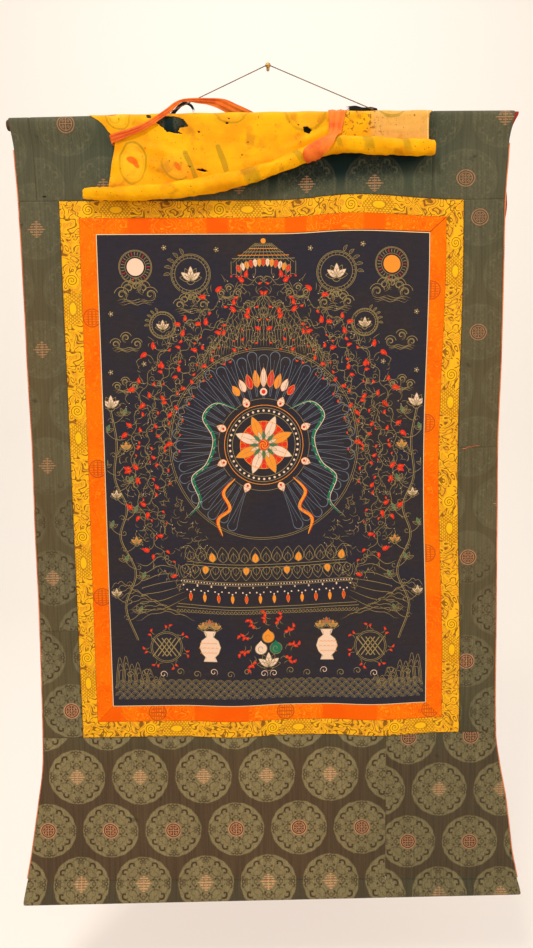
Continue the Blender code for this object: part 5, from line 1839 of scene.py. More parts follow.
    def copper_share(self, g: Graph, x: Socket, y: Socket, r: Socket, odd: Socket, grain: Socket,
            mesh: Socket) -> Socket:
        """Where copper thread shows: barred lozenges on even rows, ring medallions on odd ones."""
        around = (x * x * 1.2 + y * y * 0.86 + abs(x * y) * 0.5).step(0.067, 0.06)
        bars = abs((y / 0.084).fraction() - 0.5).step(0.17, 0.31)
        notch = abs(abs(x) - 0.095).step(0.008, 0.018).high(abs((y / 0.168).fraction() - 0.5).step(0.2, 0.26))
        barred = around * (bars * notch).high(abs(x).step(0.018, 0.008))
        barred = barred.high(abs(y).step(0.018, 0.008) * abs(x).step(0.3, 0.285))
        outer = abs(r - 0.268).step(0.022, 0.01)
        inner = abs(r - 0.196).step(0.018, 0.008)
        cross = abs(x).low(abs(y)).step(0.016, 0.007) * r.step(0.19, 0.18)
        dots = abs(abs(abs(x) - 0.085) + abs(abs(y) - 0.085) - 0.038).step(0.016, 0.008) * r.step(0.18, 0.17)
        medal = outer.high(inner).high(cross).high(dots)
        shape = barred + (medal - barred) * odd
        wear = g.noise(g.vector(x, y), 9.0, 3.0).step(0.28, 0.55) * 0.35 + 0.5
        return shape * wear * (0.55 + grain * 0.4 + mesh * 0.4)


@dataclass(frozen=True)
class CloudBrocade:
    """Yellow brocade with brown clouds, curled scrolls and scaled patches."""

    slot: Slot = Slot.YELLOW
    base: Triple = (244, 176, 30)
    deep: Triple = (226, 146, 14)
    brown: Triple = (116, 72, 24)
    ochre: Triple = (196, 134, 48)
    pale: Triple = (250, 186, 20)
    repeat: float = 0.25

    def material(self, name: str, start: float, phase: float) -> Material:
        """Make the material of one strip.

        Args:
            name: Name of the material.
            start: Place of one curl along the strip.
            phase: Number that keeps each strip's clouds its own.

        Returns:
            The material.
        """
        g = Graph(name)
        u, v = g.cloth()
        along = ((u - start) / self.repeat + 0.5).fraction() - 0.5
        run = along * self.repeat
        where = g.vector(run, v, phase)
        cloud = g.noise(where, 46.0, 0.4, 1.1)
        fine = g.noise(where, 120.0, 0.8, 0.6)
        grain = g.noise(g.vector(u, v), 1100.0, 2.0)
        outline = abs((cloud * 5.0 + 0.3).fraction() - 0.5).step(0.17, 0.1)
        shape = (cloud * 2.5 + 0.15).fraction().step(0.46, 0.54)
        hatch = abs((fine * 5.0).fraction() - 0.5).step(0.16, 0.06) * shape
        rows = v - 0.017
        r = g.distance(g.vector(run, rows), (0.0, 0.0, 0.0))
        turn = rows.math("ARCTAN2", run) / (tau)
        curl = abs((r / 0.005 - turn).fraction() - 0.5).step(0.2, 0.11) * r.step(0.013, 0.0118)
        flower = g.distance(g.vector((run - 0.053) * 0.55, rows), (0.0, 0.0, 0.0))
        ring = abs(flower - 0.0072).step(0.001, 0.0004)
        scaled = (abs(run - 0.053) + abs(rows) * 0.9 + fine * 0.03).step(0.052, 0.046) * flower.step(0.0066,
                0.0074)
        plain = flower.step(0.0066, 0.0058).high(r.step(0.0138, 0.0126))
        lines = outline * (1 - plain)
        lines = (lines + (self.scales(run, v) * 0.75 - lines) * scaled).high(curl).high(ring * 0.7)
        hue = g.mix(seen(*self.base), seen(*self.deep), shape * 0.5)
        hue = g.mix(hue, seen(*self.ochre), (hatch * 0.8 + shape * 0.2) * (1 - plain) * (1 - scaled))
        hue = g.mix(hue, seen(*self.pale),
                plain.high((cloud * 5.0 + 0.8).fraction().step(0.75, 0.85) * 0.6) * 0.7)
        hue = g.mix(hue, seen(*self.brown), lines * (0.7 + 0.3 * fine))
        hue = g.shade(hue, 1.0 + (grain - 0.5) * 0.34)
        normal = g.bump(g.weave(u, v, 0.0007, 0.4) * 0.4 + lines * 0.5 + grain * 0.3, 0.00025, 0.6)
        return g.finish(hue, 0.55, normal, specular=0.05)

    def scales(self, run: Socket, v: Socket) -> Socket:
        """Rows of small scallops."""
        size = 0.0062
        level = v / (size * 0.62)
        row = level.math("FLOOR")
        x = (run / size + row * 0.5).fraction() - 0.5
        y = level.fraction() * 0.62
        return abs((x * x + y * y).math("SQRT") - 0.47).step(0.16, 0.07)


@dataclass(frozen=True)
class FloralBrocade:
    """Orange brocade: paler flower lines, plain blocks in the level strips, medallions in the upright ones."""

    slot: Slot = Slot.ORANGE
    base: Triple = (250, 110, 0)
    deep: Triple = (232, 82, 0)
    light: Triple = (255, 144, 20)
    mark: Triple = (150, 62, 20)
    medal: float = 0.0185

    def material(self, name: str, medals: Sequence[float], blocks: tuple[float, float, float] | None,
            middle: float) -> Material:
        """Make the material of one strip.

        Args:
            name: Name of the material.
            medals: Places of its medallions along the strip.
            blocks: Place, spacing and half length of the plain blocks, or None.
            middle: Distance of the medallions' centres from the strip's outer edge.

        Returns:
            The material.
        """
        g = Graph(name)
        u, v = g.cloth()
        where = g.vector(u, v)
        bloom = g.noise(where, 60.0, 0.6, 1.0)
        lines = abs((bloom * 6.0).fraction() - 0.5).step(0.14, 0.05)
        wide = g.noise(where, 12.0, 3.0)
        hue = g.mix(seen(*self.base), seen(*self.deep), wide.step(0.42, 0.62) * 0.6)
        floral = 0.3 + wide * 0.3
        if blocks:
            x = ((u - blocks[0]) / blocks[1] + 0.5).fraction() - 0.5
            plain = abs(x * blocks[1]).step(blocks[2] + 0.003, blocks[2] - 0.003)
            hue = g.mix(hue, seen(*self.deep), plain * 0.55)
            floral = (1 - plain) * 0.8 + 0.05
        hue = g.mix(hue, seen(*self.light), lines * floral)
        hue = g.mix(hue, seen(*self.mark), abs(bloom - 0.52).step(0.012, 0.004) * 0.45 * floral)
        for at in medals:
            hue = g.mix(hue, seen(*self.mark), self.medallion(g, u - at, v - middle) * 0.62)
        grain = g.noise(where, 1100.0, 2.0)
        hue = g.shade(hue, 1.0 + (grain - 0.5) * 0.26 + (wide - 0.5) * 0.2)
        normal = g.bump(g.weave(u, v, 0.0007, 0.4) * 0.5 + lines * 0.3, 0.0002, 0.6)
        return g.finish(hue, 0.55, normal, specular=0.05)

    def medallion(self, g: Graph, x: Socket, y: Socket) -> Socket:
        """Round medallion of bars, with a rim."""
        x, y = x / self.medal, y / self.medal
        r = g.distance(g.vector(x, y), (0.0, 0.0, 0.0))
        rim = abs(r - 0.92).step(0.1, 0.05)
        bars = abs((x / 0.26 + 0.5).fraction() - 0.5).step(0.22, 0.3) * r.step(0.84, 0.78)
        stem = abs(y).step(0.1, 0.06).high(abs(abs(y) - 0.42).step(0.08, 0.04)) * r.step(0.84, 0.78)
        return rim.high(bars * 0.8).high(stem)


@dataclass(frozen=True)
class Canvas:
    """Dark painted ground with a cream line round it."""

    slot: Slot = Slot.CANVAS
    ground: Triple = (41, 37, 45)
    warm: Triple = (46, 39, 41)
    blue: Triple = (37, 36, 47)
    cream: Triple = (236, 208, 160)
    margin: float = 0.0018

    def material(self, width: float, height: float) -> Material:
        """Make the material for a canvas of a width and height."""
        g = Graph(self.slot.value)
        u, v = g.cloth()
        rim = u.low(width - u).low(v.low(height - v))
        grain = g.noise(g.vector(u, v), 700.0, 3.0)
        cloud = g.noise(g.vector(u, v), 6.0, 5.0)
        hue = g.mix(seen(*self.ground), seen(*self.warm), cloud.step(0.42, 0.62))
        hue = g.mix(hue, seen(*self.blue), g.noise(g.vector(u, v, 3.0), 5.0, 3.0).step(0.5, 0.62) * 0.7)
        dust = g.noise(g.vector(u * 0.35, v), 160.0, 4.0)
        hue = g.shade(hue, 1.0 + (grain - 0.5) * 0.5 + (dust - 0.5) * 0.5)
        flecks = g.noise(g.vector(u, v, 7.0), 420.0, 1.0).step(0.72, 0.76)
        hue = g.mix(hue, seen(120, 100, 70), flecks * 0.35)
        hue = g.mix(hue, seen(*self.cream),
                (rim + (grain - 0.5) * 0.0006).step(self.margin, self.margin - 0.0005))
        normal = g.bump(g.weave(u, v, 0.0011, 0.0) * 0.5 + grain * 0.5, 0.0002, 0.5)
        return g.finish(hue, 0.78, normal)


@dataclass(frozen=True)
class CottonLining:
    """Plain red cotton, faded in patches."""

    slot: Slot = Slot.LINING
    base: Triple = (150, 44, 36)
    faded: Triple = (164, 58, 44)

    def material(self) -> Material:
        """Make the material."""
        g = Graph(self.slot.value)
        u, v = g.cloth()
        grain = g.noise(g.vector(u, v * 0.3), 800.0, 2.0)
        cloud = g.noise(g.vector(u, v), 5.0, 4.0)
        hue = g.mix(seen(*self.base), seen(*self.faded), cloud.step(0.4, 0.66))
        rolled = g.noise(g.vector(u * 0.05, v), 38.0, 3.0)
        hue = g.shade(hue, 1.0 + (grain - 0.5) * 0.35 + (rolled - 0.5) * 0.3)
        normal = g.bump(g.weave(u, v, 0.0009, 0.0) * 0.6 + grain * 0.4, 0.0003, 0.7)
        return g.finish(hue, 0.85, normal, specular=0.05)


@dataclass(frozen=True)
class Fibre:
    """Cloth or twine of one dye, with worn and dark places."""

    slot: Slot
    base: Triple
    worn: Triple
    roughness: float = 0.7
    pitch: float = 0.0006
    lengthwise: float = 0.05
    sheen: float = 0.04

    def material(self) -> Material:
        """Make the material."""
        g = Graph(self.slot.value)
        u, v = g.cloth()
        x, y, z = g.place()
        grain = g.noise(g.vector(u, v * self.lengthwise), 1500.0, 3.0)
        cloud = g.noise(g.vector(x, y, z), 28.0, 4.0)
        hue = g.mix(seen(*self.base), seen(*self.worn), cloud.step(0.38, 0.64))
        hue = g.shade(hue, 1.0 + (grain - 0.5) * 0.55)
        normal = g.bump(g.weave(u, v, self.pitch, 0.4) * 0.5 + grain * 0.5, 0.00015, 0.7)
        return g.finish(hue, self.roughness, normal, sheen=self.sheen)


class Print(NamedTuple):
    """Oval ring printed on the cover."""

    across: float
    drop: float
    reach: float
    fall: float
    lean: float
    weight: float


@dataclass(frozen=True)
class CoverSilk:
    """Thin yellow silk: printed grey-green ovals with orange hearts, dust, stain marks, worn flecks and
    painted crease shade.
    """

    slot: Slot = Slot.SILK
    base: Triple = (250, 176, 2)
    deep: Triple = (224, 140, 0)
    ring: Triple = (148, 126, 16)
    inner: Triple = (255, 190, 50)
    heart: Triple = (236, 98, 8)
    dust: Triple = (222, 166, 84)
    prints: tuple[Print, ...] = tuple(Print(*row) for row in (
        (-0.242, 0.088, 0.027, 0.039, 0.05, 1.0), (-0.156, 0.09, 0.036, 0.031, 0.55, 0.9),
        (-0.055, -0.005, 0.035, 0.026, 0.0, 0.8), (-0.268, 0.001, 0.024, 0.029, -0.5, 0.8),
        (-0.274, 0.002, 0.012, 0.017, -0.5, 0.7), (0.0836, -0.004, 0.041, 0.041, 0.0, 0.8),
        (0.244, -0.02, 0.034, 0.034, 0.0, 0.9)))
    hearts: tuple[tuple[float, float, float, float, float], ...] = (
        (-0.243, 0.083, 0.012, 0.006, 0.45),
        (-0.1575, 0.096, 0.012, 0.0055, 0.95),
        (-0.278, 0.001, 0.01, 0.004, 0.1),
        (-0.2365, 0.0905, 0.009, 0.0042, 0.9),
        (-0.218, 0.0625, 0.0022, 0.0022, 0.0),
    )
    bars: tuple[tuple[float, float, float, float], ...] = (
        (-0.142, 0.073, -0.124, 0.117),
        (-0.08, 0.063, -0.066, 0.107),
    )
    roll_bands: tuple[Pair, ...] = ((0.0745, 0.007), (0.146, 0.006), (0.2012, 0.012), (0.2718, 0.009),
            (-0.008, 0.016))

    def material(self) -> Material:
        """Make the material."""
        g = Graph(self.slot.value)
        u, v = g.cloth()
        hanging = v.step(0.175, 0.16)
        wave = g.noise(g.vector(u, v), 30.0, 2.0) * 0.01 - 0.005
        x, y = u + wave, v + wave
        grain = g.noise(g.vector(u, v * 0.12), 1300.0, 3.0)
        cloud = g.noise(g.vector(u, v), 16.0, 5.0)
        streak = g.noise(g.vector(u, v * 0.04), 420.0, 3.0)
        hue = g.mix(seen(*self.base), seen(*self.deep), (cloud + streak * 0.25).step(0.5, 0.8) * 0.75)
        dusty = u.step(0.195, 0.215) * v.step(0.056, 0.048) * hanging
        hue = g.mix(hue, seen(*self.dust), dusty * (0.75 + 0.25 * cloud))
        for k, oval in enumerate(self.prints):
            near = self.oval(g, x, y, oval)
            hue = g.mix(hue, seen(*self.inner), near.step(0.86, 0.7) * 0.25 * oval.weight)
            line = abs(near - 0.93).step(0.1, 0.03) * (0.45 + 0.55 * cloud.step(0.3, 0.6))
            thin = abs(near - 0.74).step(0.035, 0.015) * 0.35
            shown = y.step(oval.drop - 0.018, oval.drop + 0.004) * x.step(oval.across + 0.022,
                    oval.across + 0.01)
            shown = shown if k == 1 else 1.0
            hue = g.mix(hue, seen(*self.ring), line.high(thin) * shown * 0.72 * oval.weight)
        for ax, ay, bx, by in self.bars:
            near = self.segment(g, x, y, (ax, ay), (bx, by)) + (cloud - 0.5) * 0.006
            hue = g.mix(hue, seen(*self.ring), near.step(0.006, 0.0036) * (0.45 + 0.4 * grain))
        for a, d, reach, fall, lean in self.hearts:
            near = self.oval(g, x, y, Print(a, d, reach, fall, lean, 1.0)) + (cloud - 0.5) * 0.8
            hue = g.mix(hue, seen(*self.heart), near.step(1.1, 0.7) * 0.9)
        grime = u.step(0.125, 0.15) * u.step(0.25, 0.2) * v.step(0.075, 0.045)
        flecks = g.noise(g.vector(u, v), 150.0, 4.0).step(0.54, 0.64)
        hue = g.mix(hue, seen(112, 78, 28), grime * flecks * 0.8)
        hue = g.mix(hue, seen(255, 210, 130),
                abs(u - 0.3105).step(0.0012, 0.0004) * v.step(0.085, 0.08) * 0.7)
        for at, half in self.roll_bands:
            band = abs(u - at + (v - 0.1) * 0.25).step(half, half * 0.55) * v.step(0.1, 0.115)
            hue = g.mix(hue, seen(*self.ring), band * 0.55 * cloud.step(0.25, 0.5))
        # Crease noise gives the bump of the creases. It also paints crease shade and highlight into the
        # colour: darker in the troughs, lighter on the ridges.
        crease_bump_and_shade = g.noise(g.vector(u * 0.2, v), 90.0, 3.0)
        hue = g.shade(hue, 1.0 + (grain - 0.5) * 0.3 + (crease_bump_and_shade - 0.5) * 0.22 + (streak - 0.5) * 0.25)
        specks = g.noise(g.vector(u, v, 2.0), 240.0, 1.0).step(0.7, 0.73)
        hue = g.mix(hue, seen(84, 56, 20), specks * 0.7)
        stain = g.noise(g.vector(u, v, 5.0), 26.0, 6.0).step(0.56, 0.68)
        hue = g.mix(hue, seen(186, 116, 14), stain * 0.6)
        normal = g.bump(g.weave(u, v, 0.0006, 0.3) * 0.4 + grain * 0.4 + crease_bump_and_shade * 0.6, 0.0004, 0.6)
        return g.finish(hue, 0.48, normal, specular=0.08)

    def oval(self, g: Graph, x: Socket, y: Socket, oval: Print) -> Socket:
        """Distance from the middle of a leaning oval: 1 on its outline."""
        dx, dy = x - oval.across, y - oval.drop
        c, s = cos(oval.lean), sin(oval.lean)
        return g.distance(g.vector((dx * c + dy * s) / oval.reach, (dy * c - dx * s) / oval.fall),
                (0.0, 0.0, 0.0))

    def segment(self, g: Graph, x: Socket, y: Socket, a: Pair, b: Pair) -> Socket:
        """Distance from the line between two points."""
        run = (b[0] - a[0], b[1] - a[1])
        square = run[0] ** 2 + run[1] ** 2
        t = ((x - a[0]) * run[0] + (y - a[1]) * run[1]) / square
        t = t.high(0.0).low(1.0)
        return g.distance(g.vector(x - a[0] - t * run[0], y - a[1] - t * run[1]), (0.0, 0.0, 0.0))


@dataclass(frozen=True)
class Timber:
    """Dark wood with grain along the rods."""

    slot: Slot = Slot.WOOD
    base: Triple = (92, 60, 40)
    dark: Triple = (52, 34, 24)

    def material(self) -> Material:
        """Make the material."""
        g = Graph(self.slot.value)
        x, y, z = g.place()
        grain = g.noise(g.vector(x * 0.04, y, z), 420.0, 4.0, 0.4)
        hue = g.mix(seen(*self.base), seen(*self.dark), grain.step(0.35, 0.65))
        return g.finish(hue, 0.55, g.bump(grain, 0.0004, 0.5))


@dataclass(frozen=True)
class Brass:
    """Dull brass with brown tarnish."""

    slot: Slot = Slot.BRASS
    base: Triple = (204, 160, 92)
    tarnish: Triple = (110, 72, 40)

    def material(self) -> Material:
        """Make the material."""
        g = Graph(self.slot.value)
        x, y, z = g.place()
        cloud = g.noise(g.vector(x, y, z), 420.0, 4.0)
        hue = g.mix(seen(*self.base), seen(*self.tarnish), cloud.step(0.42, 0.62))
        return g.finish(hue, 0.32 + cloud * 0.3, g.bump(cloud, 0.0001, 0.4), metallic=1.0, specular=0.5)


class Paint(Enum):
    """Colours of the painted design, as seen."""

    GOLD = (150, 128, 80)
    RED = (216, 44, 20)
    PINK = (236, 200, 172)
    BLUE = (104, 110, 120)
    GREEN = (24, 110, 78)
    ORANGE = (236, 142, 40)


def polar(x: float, y: float, radius: float, turn: float) -> Pair:
    """Point at a radius and an angle from a centre."""
    return x + radius * cos(turn), y + radius * sin(turn)


def circle(x: float, y: float, radius: float, count: int, start: float = 0.0) -> list[Pair]:
    """Points round a circle."""
    return [polar(x, y, radius, start + tau * k / count) for k in range(count)]


def curl(x: float, y: float, outer: float, inner: float, start: float, turns: float,
        count: int = 14) -> list[Pair]:
    """Points of a spiral from its outer end in to its middle."""
    return [polar(x, y, lerp(outer, inner, k / count), start + tau * turns * k / count)
            for k in range(count + 1)]


def sweep(x: float, y: float, length: float, angle: float, turn: float, count: int = 8) -> list[Pair]:
    """Points of a line that starts at an angle and turns evenly."""
    made = [(x, y)]
    for k in range(count):
        made.append(polar(*made[-1], length / count, angle + turn * (k + 0.5) / count))
    return made


def bend(points: Sequence[Pair], steps: int = 6) -> list[Pair]:
    """Smooth line through a few points."""
    keys = list(range(len(points)))
    return [tuple(through(keys, [p[k] for p in points], n / steps) for k in range(2))
            for n in range((len(points) - 1) * steps + 1)]


def level(share: float) -> float:
    """Width of a line that stays even."""
    return 1.0


def tapered(share: float) -> float:
    """Width of a line that thins out toward both ends."""
    return min(1.0, 0.2 + 3.5 * min(share, 1 - share))


def comma(share: float) -> float:
    """Width of a comma: a full head and a long tail."""
    return sin(pi * share ** 0.5) ** 0.8


def leaf(share: float) -> float:
    """Width of a pointed leaf or petal."""
    return sin(pi * share ** 0.8) ** 0.85


class Brush:
    """Lays thin strokes on the canvas; places are in metres from its top middle, and most are mirrored."""

    def __init__(self) -> None:
        """Start with no paint laid."""
        window = HANG.picture
        self.width = window.right_top - window.left_top
        self.height = window.drops.left_low - window.drops.left_top
        self.layers = {paint: PieceMesh(f"painting_{paint.name.lower()}") for paint in Paint}
        self.chance = random.Random(11)

    def place(self, x: float, y: float, layer: int) -> Vector:
        """World point on the canvas, over a number of coats."""
        reach = self.width / 2 - 0.006
        across, drop = HANG.inside(0.5 + min(max(x, -reach), reach) / self.width, y / self.height)
        return HANG.place(across, drop, HANG.front(across, drop) + 0.00022 + 0.00006 * layer)

    def line(self, points: Sequence[Pair], paint: Paint = Paint.GOLD, width: float = 0.0009,
            form: Callable[[float], float] = level, mirror: bool = True, layer: int = 1) -> None:
        """Lay a stroke.

        Args:
            points: Its centre line.
            paint: Its colour.
            width: Its greatest width.
            form: Share of that width at each share of its length.
            mirror: Whether it is laid on the other side too.
            layer: How many coats lie beneath it.
        """
        made = self.layers[paint]
        last = len(points) - 1
        for side in (1, -1) if mirror else (1,):
            rows = []
            for k, (x, y) in enumerate(points):
                a, b = points[max(k - 1, 0)], points[min(k + 1, last)]
                half = max(width / 2 * form(k / last), 0.00008) / (dist(a, b) or 1.0)
                rows.append([made.add(self.place(side * (x - way * (b[1] - a[1]) * half),
                        y + way * (b[0] - a[0]) * half, layer), (x, y)) for way in (1, -1)])
            made.faces += [(a[0], a[1], b[1], b[0]) for a, b in zip(rows, rows[1:])]

    def fill(self, points: Sequence[Pair], paint: Paint, mirror: bool = True, layer: int = 0) -> None:
        """Fill a small shape that its middle sees all of."""
        made = self.layers[paint]
        middle = tuple(sum(p[k] for p in points) / len(points) for k in range(2))
        for side in (1, -1) if mirror else (1,):
            centre, *rim = (made.add(self.place(side * x, y, layer), (x, y)) for x, y in (middle, *points))
            made.faces += [(centre, a, b) for a, b in zip(rim, rim[1:] + rim[:1])]

    def dot(self, x: float, y: float, radius: float, paint: Paint, mirror: bool = True,
            layer: int = 2) -> None:
        """Lay a round dot."""
        self.fill(circle(x, y, radius, 10, 0.1), paint, mirror, layer)

    def ring(self, x: float, y: float, radius: float, paint: Paint = Paint.GOLD, width: float = 0.0009,
            mirror: bool = False) -> None:
        """Lay a closed ring."""
        self.line(curl(x, y, radius, radius, 0.0, 1.0, max(24, round(radius * 1400))), paint, width,
                mirror=mirror)

    def petal(self, x: float, y: float, length: float, width: float, angle: float, paint: Paint | None = None,
            line: Paint = Paint.GOLD, mirror: bool = True, turn: float = 0.0) -> None:
        """Lay a pointed petal from its foot: a fill, two outlines and a vein."""
        spine = sweep(x, y, length, angle, turn)
        if paint:
            self.line(spine, paint, width, leaf, mirror, 0)
        for way in (1, -1):
            self.line([polar(*point, way * width / 2 * leaf(k / 8), angle + turn * k / 8 + pi / 2)
                    for k, point in enumerate(spine)], line, 0.0008, mirror=mirror)
        self.line(spine[2:7], line, 0.0006, tapered, mirror)

    def bud(self, x: float, y: float, size: float, angle: float, way: int, mirror: bool = True) -> None:
        """Lay a red flame bud on its tendril, with an orange gleam."""
        self.line(sweep(x, y, size * 1.9, angle - way * 1.5, way * 2.0), width=0.0008, form=tapered,
                mirror=mirror)
        x, y = sweep(x, y, size * 1.5, angle - way * 1.5, way * 1.5)[-1]
        self.line(sweep(x, y, size * 1.05, angle, way * 1.3, 10), Paint.RED, size * 0.66, comma, mirror, 2)
        self.line(sweep(x, y, size * 0.85, angle - way * 0.5, way * 2.6, 10), Paint.RED, size * 0.42, comma,
                mirror, 4)
        self.line(sweep(*polar(x, y, size * 0.1, angle), size * 0.45, angle + way * 0.2, way * 1.0, 5),
                Paint.ORANGE,
                0.0006, tapered, mirror, 6)

    def blossom(self, x: float, y: float, size: float, paint: Paint = Paint.PINK,
            mirror: bool = True) -> None:
        """Lay an open lotus seen from the side."""
        for k in (0, 6, 1, 5, 2, 4, 3):
            t = k / 6 - 0.5
            self.petal(x, y, size * (1.0 - 0.35 * abs(t)), size * 0.4, -pi / 2 + 2.4 * t,
                    paint if k % 2 else None, mirror=mirror, turn=0.5 * t)
        self.line(curl(x, y, size * 0.3, size * 0.3, 0.2, 0.44, 8), width=0.001, mirror=mirror)

    def cloud(self, x: float, y: float, size: float, lobes: int) -> None:
        """Lay a bank of curled cloud with trailing tails."""
        for k in range(lobes):
            t = k / (lobes - 1) - 0.5
            cx, cy = x + size * 1.9 * t, y - size * 0.55 * (1 - 4 * t * t)
            for reach, width in ((0.42, 0.0013), (0.3, 0.0007)):
                self.line(curl(cx, cy, size * reach, size * 0.06, pi / 2, 1.25 * (-1) ** k, 18), width=width,
                        form=tapered)
            self.line(curl(cx, cy, size * 0.5, size * 0.5, pi + 0.3, 0.42, 8), width=0.0011)
        for n in range(3):
            self.line([(x + size * (1.3 - 0.12 * n) * u / 8, y + size * (0.34 + 0.13 * n)
                    + size * 0.07 * sin(u * 0.9 + n)) for u in range(-8, 9)], form=tapered)


@dataclass(frozen=True)
class Design:
    """Generic picture: a jewelled wheel on a lotus throne in a vine aureole, with clouds, gems and waves."""

    wheel: Pair = (0.0, 0.405)
    wheel_radius: float = 0.078
    aureole: Pair = (0.262, 0.315)
    throne: float = 0.64

    def paint(self) -> None:
        """Paint everything and fit each colour on the canvas."""
        brush = Brush()
        for part in (self.halo, self.hub, self.vines, self.lotus_throne, self.sky, self.sides, self.gems,
                self.shore):
            part(brush)
        for paint, made in brush.layers.items():
            g = Graph(made.name)
            u, v = g.cloth()
            grain = g.noise(g.vector(u, v), 900.0, 3.0)
            worn = g.noise(g.vector(u, v, 4.0), 70.0, 4.0) + grain * 0.25
            hue = g.shade(g.mix(seen(*paint.value), seen(*paint.value), grain), 0.7 + grain * 0.55)
            fit(made.build(g.finish(hue, 0.6, alpha=worn.step(0.36, 0.5) if paint is Paint.GOLD else 1.0)),
                Slot.CANVAS.value)

    def halo(self, brush: Brush) -> None:
        """Rayed halo of narrow plumes behind the wheel, and thin flames above it."""
        x, y = self.wheel
        for k in range(48):
            turn = tau * k / 48
            reach = 0.166 + 0.007 * (k % 2)
            if abs((turn - pi / 2 + pi) % (tau) - pi) < 0.36:
                continue
            for off in (-1, 1):
                brush.line([polar(x, y, share * reach, turn + off * (0.004 + 0.052 * share ** 3))
                        for share in (0.55, 0.65, 0.75, 0.85, 0.95, 1.0)], Paint.BLUE, mirror=False)
            brush.line(curl(*polar(x, y, reach, turn), 0.0094, 0.0094, turn - pi / 2, 0.5, 8), Paint.BLUE,
                    0.0015, mirror=False)
            brush.line([polar(x, y, reach * share, turn) for share in (0.62, 0.8, 0.96)], Paint.BLUE, 0.0005,
                    mirror=False)
        for radius in (0.0905, 0.185, 0.1885):
            brush.ring(x, y, radius, width=0.0008)
        for k in range(26):
            t = k / 25
            foot = polar(x, y, 0.192, -pi / 2 + 0.75 * t)
            brush.line([(foot[0] + 0.0022 * sin(2.4 * n + k) * n / 4 - 0.0016 * n * t,
                    foot[1] - n * (0.0115 - 0.007 * t)) for n in range(10)], width=0.0007, form=tapered)

    def hub(self, brush: Brush) -> None:
        """Eight-spoked wheel with pearls, jewels, a crown of petals and scarves."""
        x, y = self.wheel
        r = self.wheel_radius
        brush.fill(circle(x, y, r * 0.6, 40, 0.1), Paint.RED, False, -1)
        for share, paint in ((1.0, Paint.ORANGE), (0.93, Paint.GOLD), (0.8, Paint.GOLD), (0.6, Paint.ORANGE),
                (0.135, Paint.GOLD)):
            brush.ring(x, y, r * share, paint, 0.0011)
        for k in range(40):
            brush.dot(*polar(x, y, 0.865 * r, pi * k / 20), 0.0023, Paint.PINK, False)
        for k in range(8):
            turn = pi / 8 + pi * k / 4
            brush.petal(*polar(x, y, 0.2 * r, turn), 0.58 * r, 0.019, turn, Paint.ORANGE if k % 2
                    else Paint.PINK,
                    mirror=False)
            for n in (-1, 1):
                brush.line(sweep(*polar(x, y, 0.46 * r, turn + 0.39), 0.016, turn + 0.39 + n * 1.4, -n * 2.4),
                        Paint.ORANGE, 0.0008, tapered, False, 2)
            brush.petal(*polar(x, y, 1.03 * r, turn), 0.02, 0.014, turn, Paint.PINK, Paint.ORANGE, False)
            brush.dot(*polar(x, y, 1.11 * r, turn), 0.0026, Paint.RED, False, 3)
        for k in range(16):
            turn = pi * k / 8
            brush.petal(*polar(x, y, 0.13 * r, turn), 0.24 * r, 0.006, turn, Paint.PINK if k % 2
                    else Paint.GREEN,
                    mirror=False)
        for k in range(3):
            brush.line(curl(x, y, 0.01, 0.0008, tau * k / 3, 0.6), Paint.ORANGE, 0.0022, tapered, False, 4)
        for k in range(9):
            t = k / 8 - 0.5
            brush.petal(x + 0.096 * t, y - r - 0.016 * (2.2 - 4 * t * t), 0.038 - 0.03 * abs(t), 0.013,
                    -pi / 2 + 1.2 * t, (Paint.ORANGE, Paint.PINK, Paint.RED)[k % 3], Paint.ORANGE, False)
        for radius, paint in ((0.0075, Paint.PINK), (0.0042, Paint.RED)):
            brush.dot(x, y - r - 0.026, radius, paint, False, 4 - round(radius * 200))
        scarf = [(0.05, 0.335), (0.092, 0.322), (0.118, 0.35), (0.098, 0.392), (0.112, 0.44), (0.142, 0.47),
                (0.128, 0.515), (0.15, 0.545)]
        tail = [(0.058, 0.47), (0.082, 0.498), (0.07, 0.53), (0.094, 0.552), (0.086, 0.585)]
        for points, paint, edge in ((scarf, Paint.GREEN, Paint.PINK), (tail, Paint.ORANGE, Paint.RED)):
            brush.line(bend(points, 7), paint, 0.0066, tapered, layer=2)
            brush.line(bend([(px + 0.0032, py) for px, py in points], 7), edge, 0.0012, tapered, layer=3)
            for px, py in bend(points, 3)[2:-2]:
                brush.line(sweep(px - 0.002, py, 0.005, 0.6, 0.4, 3), edge, 0.0006, layer=4)

    def around(self, share: float, turn: float) -> Pair:
        """Point of the aureole at a share of its size, at an angle from its top."""
        peak = 0.03 * bell(turn / 0.42)
        return share * self.aureole[0] * sin(turn), 0.43 - share * (self.aureole[1] * cos(turn) + peak)

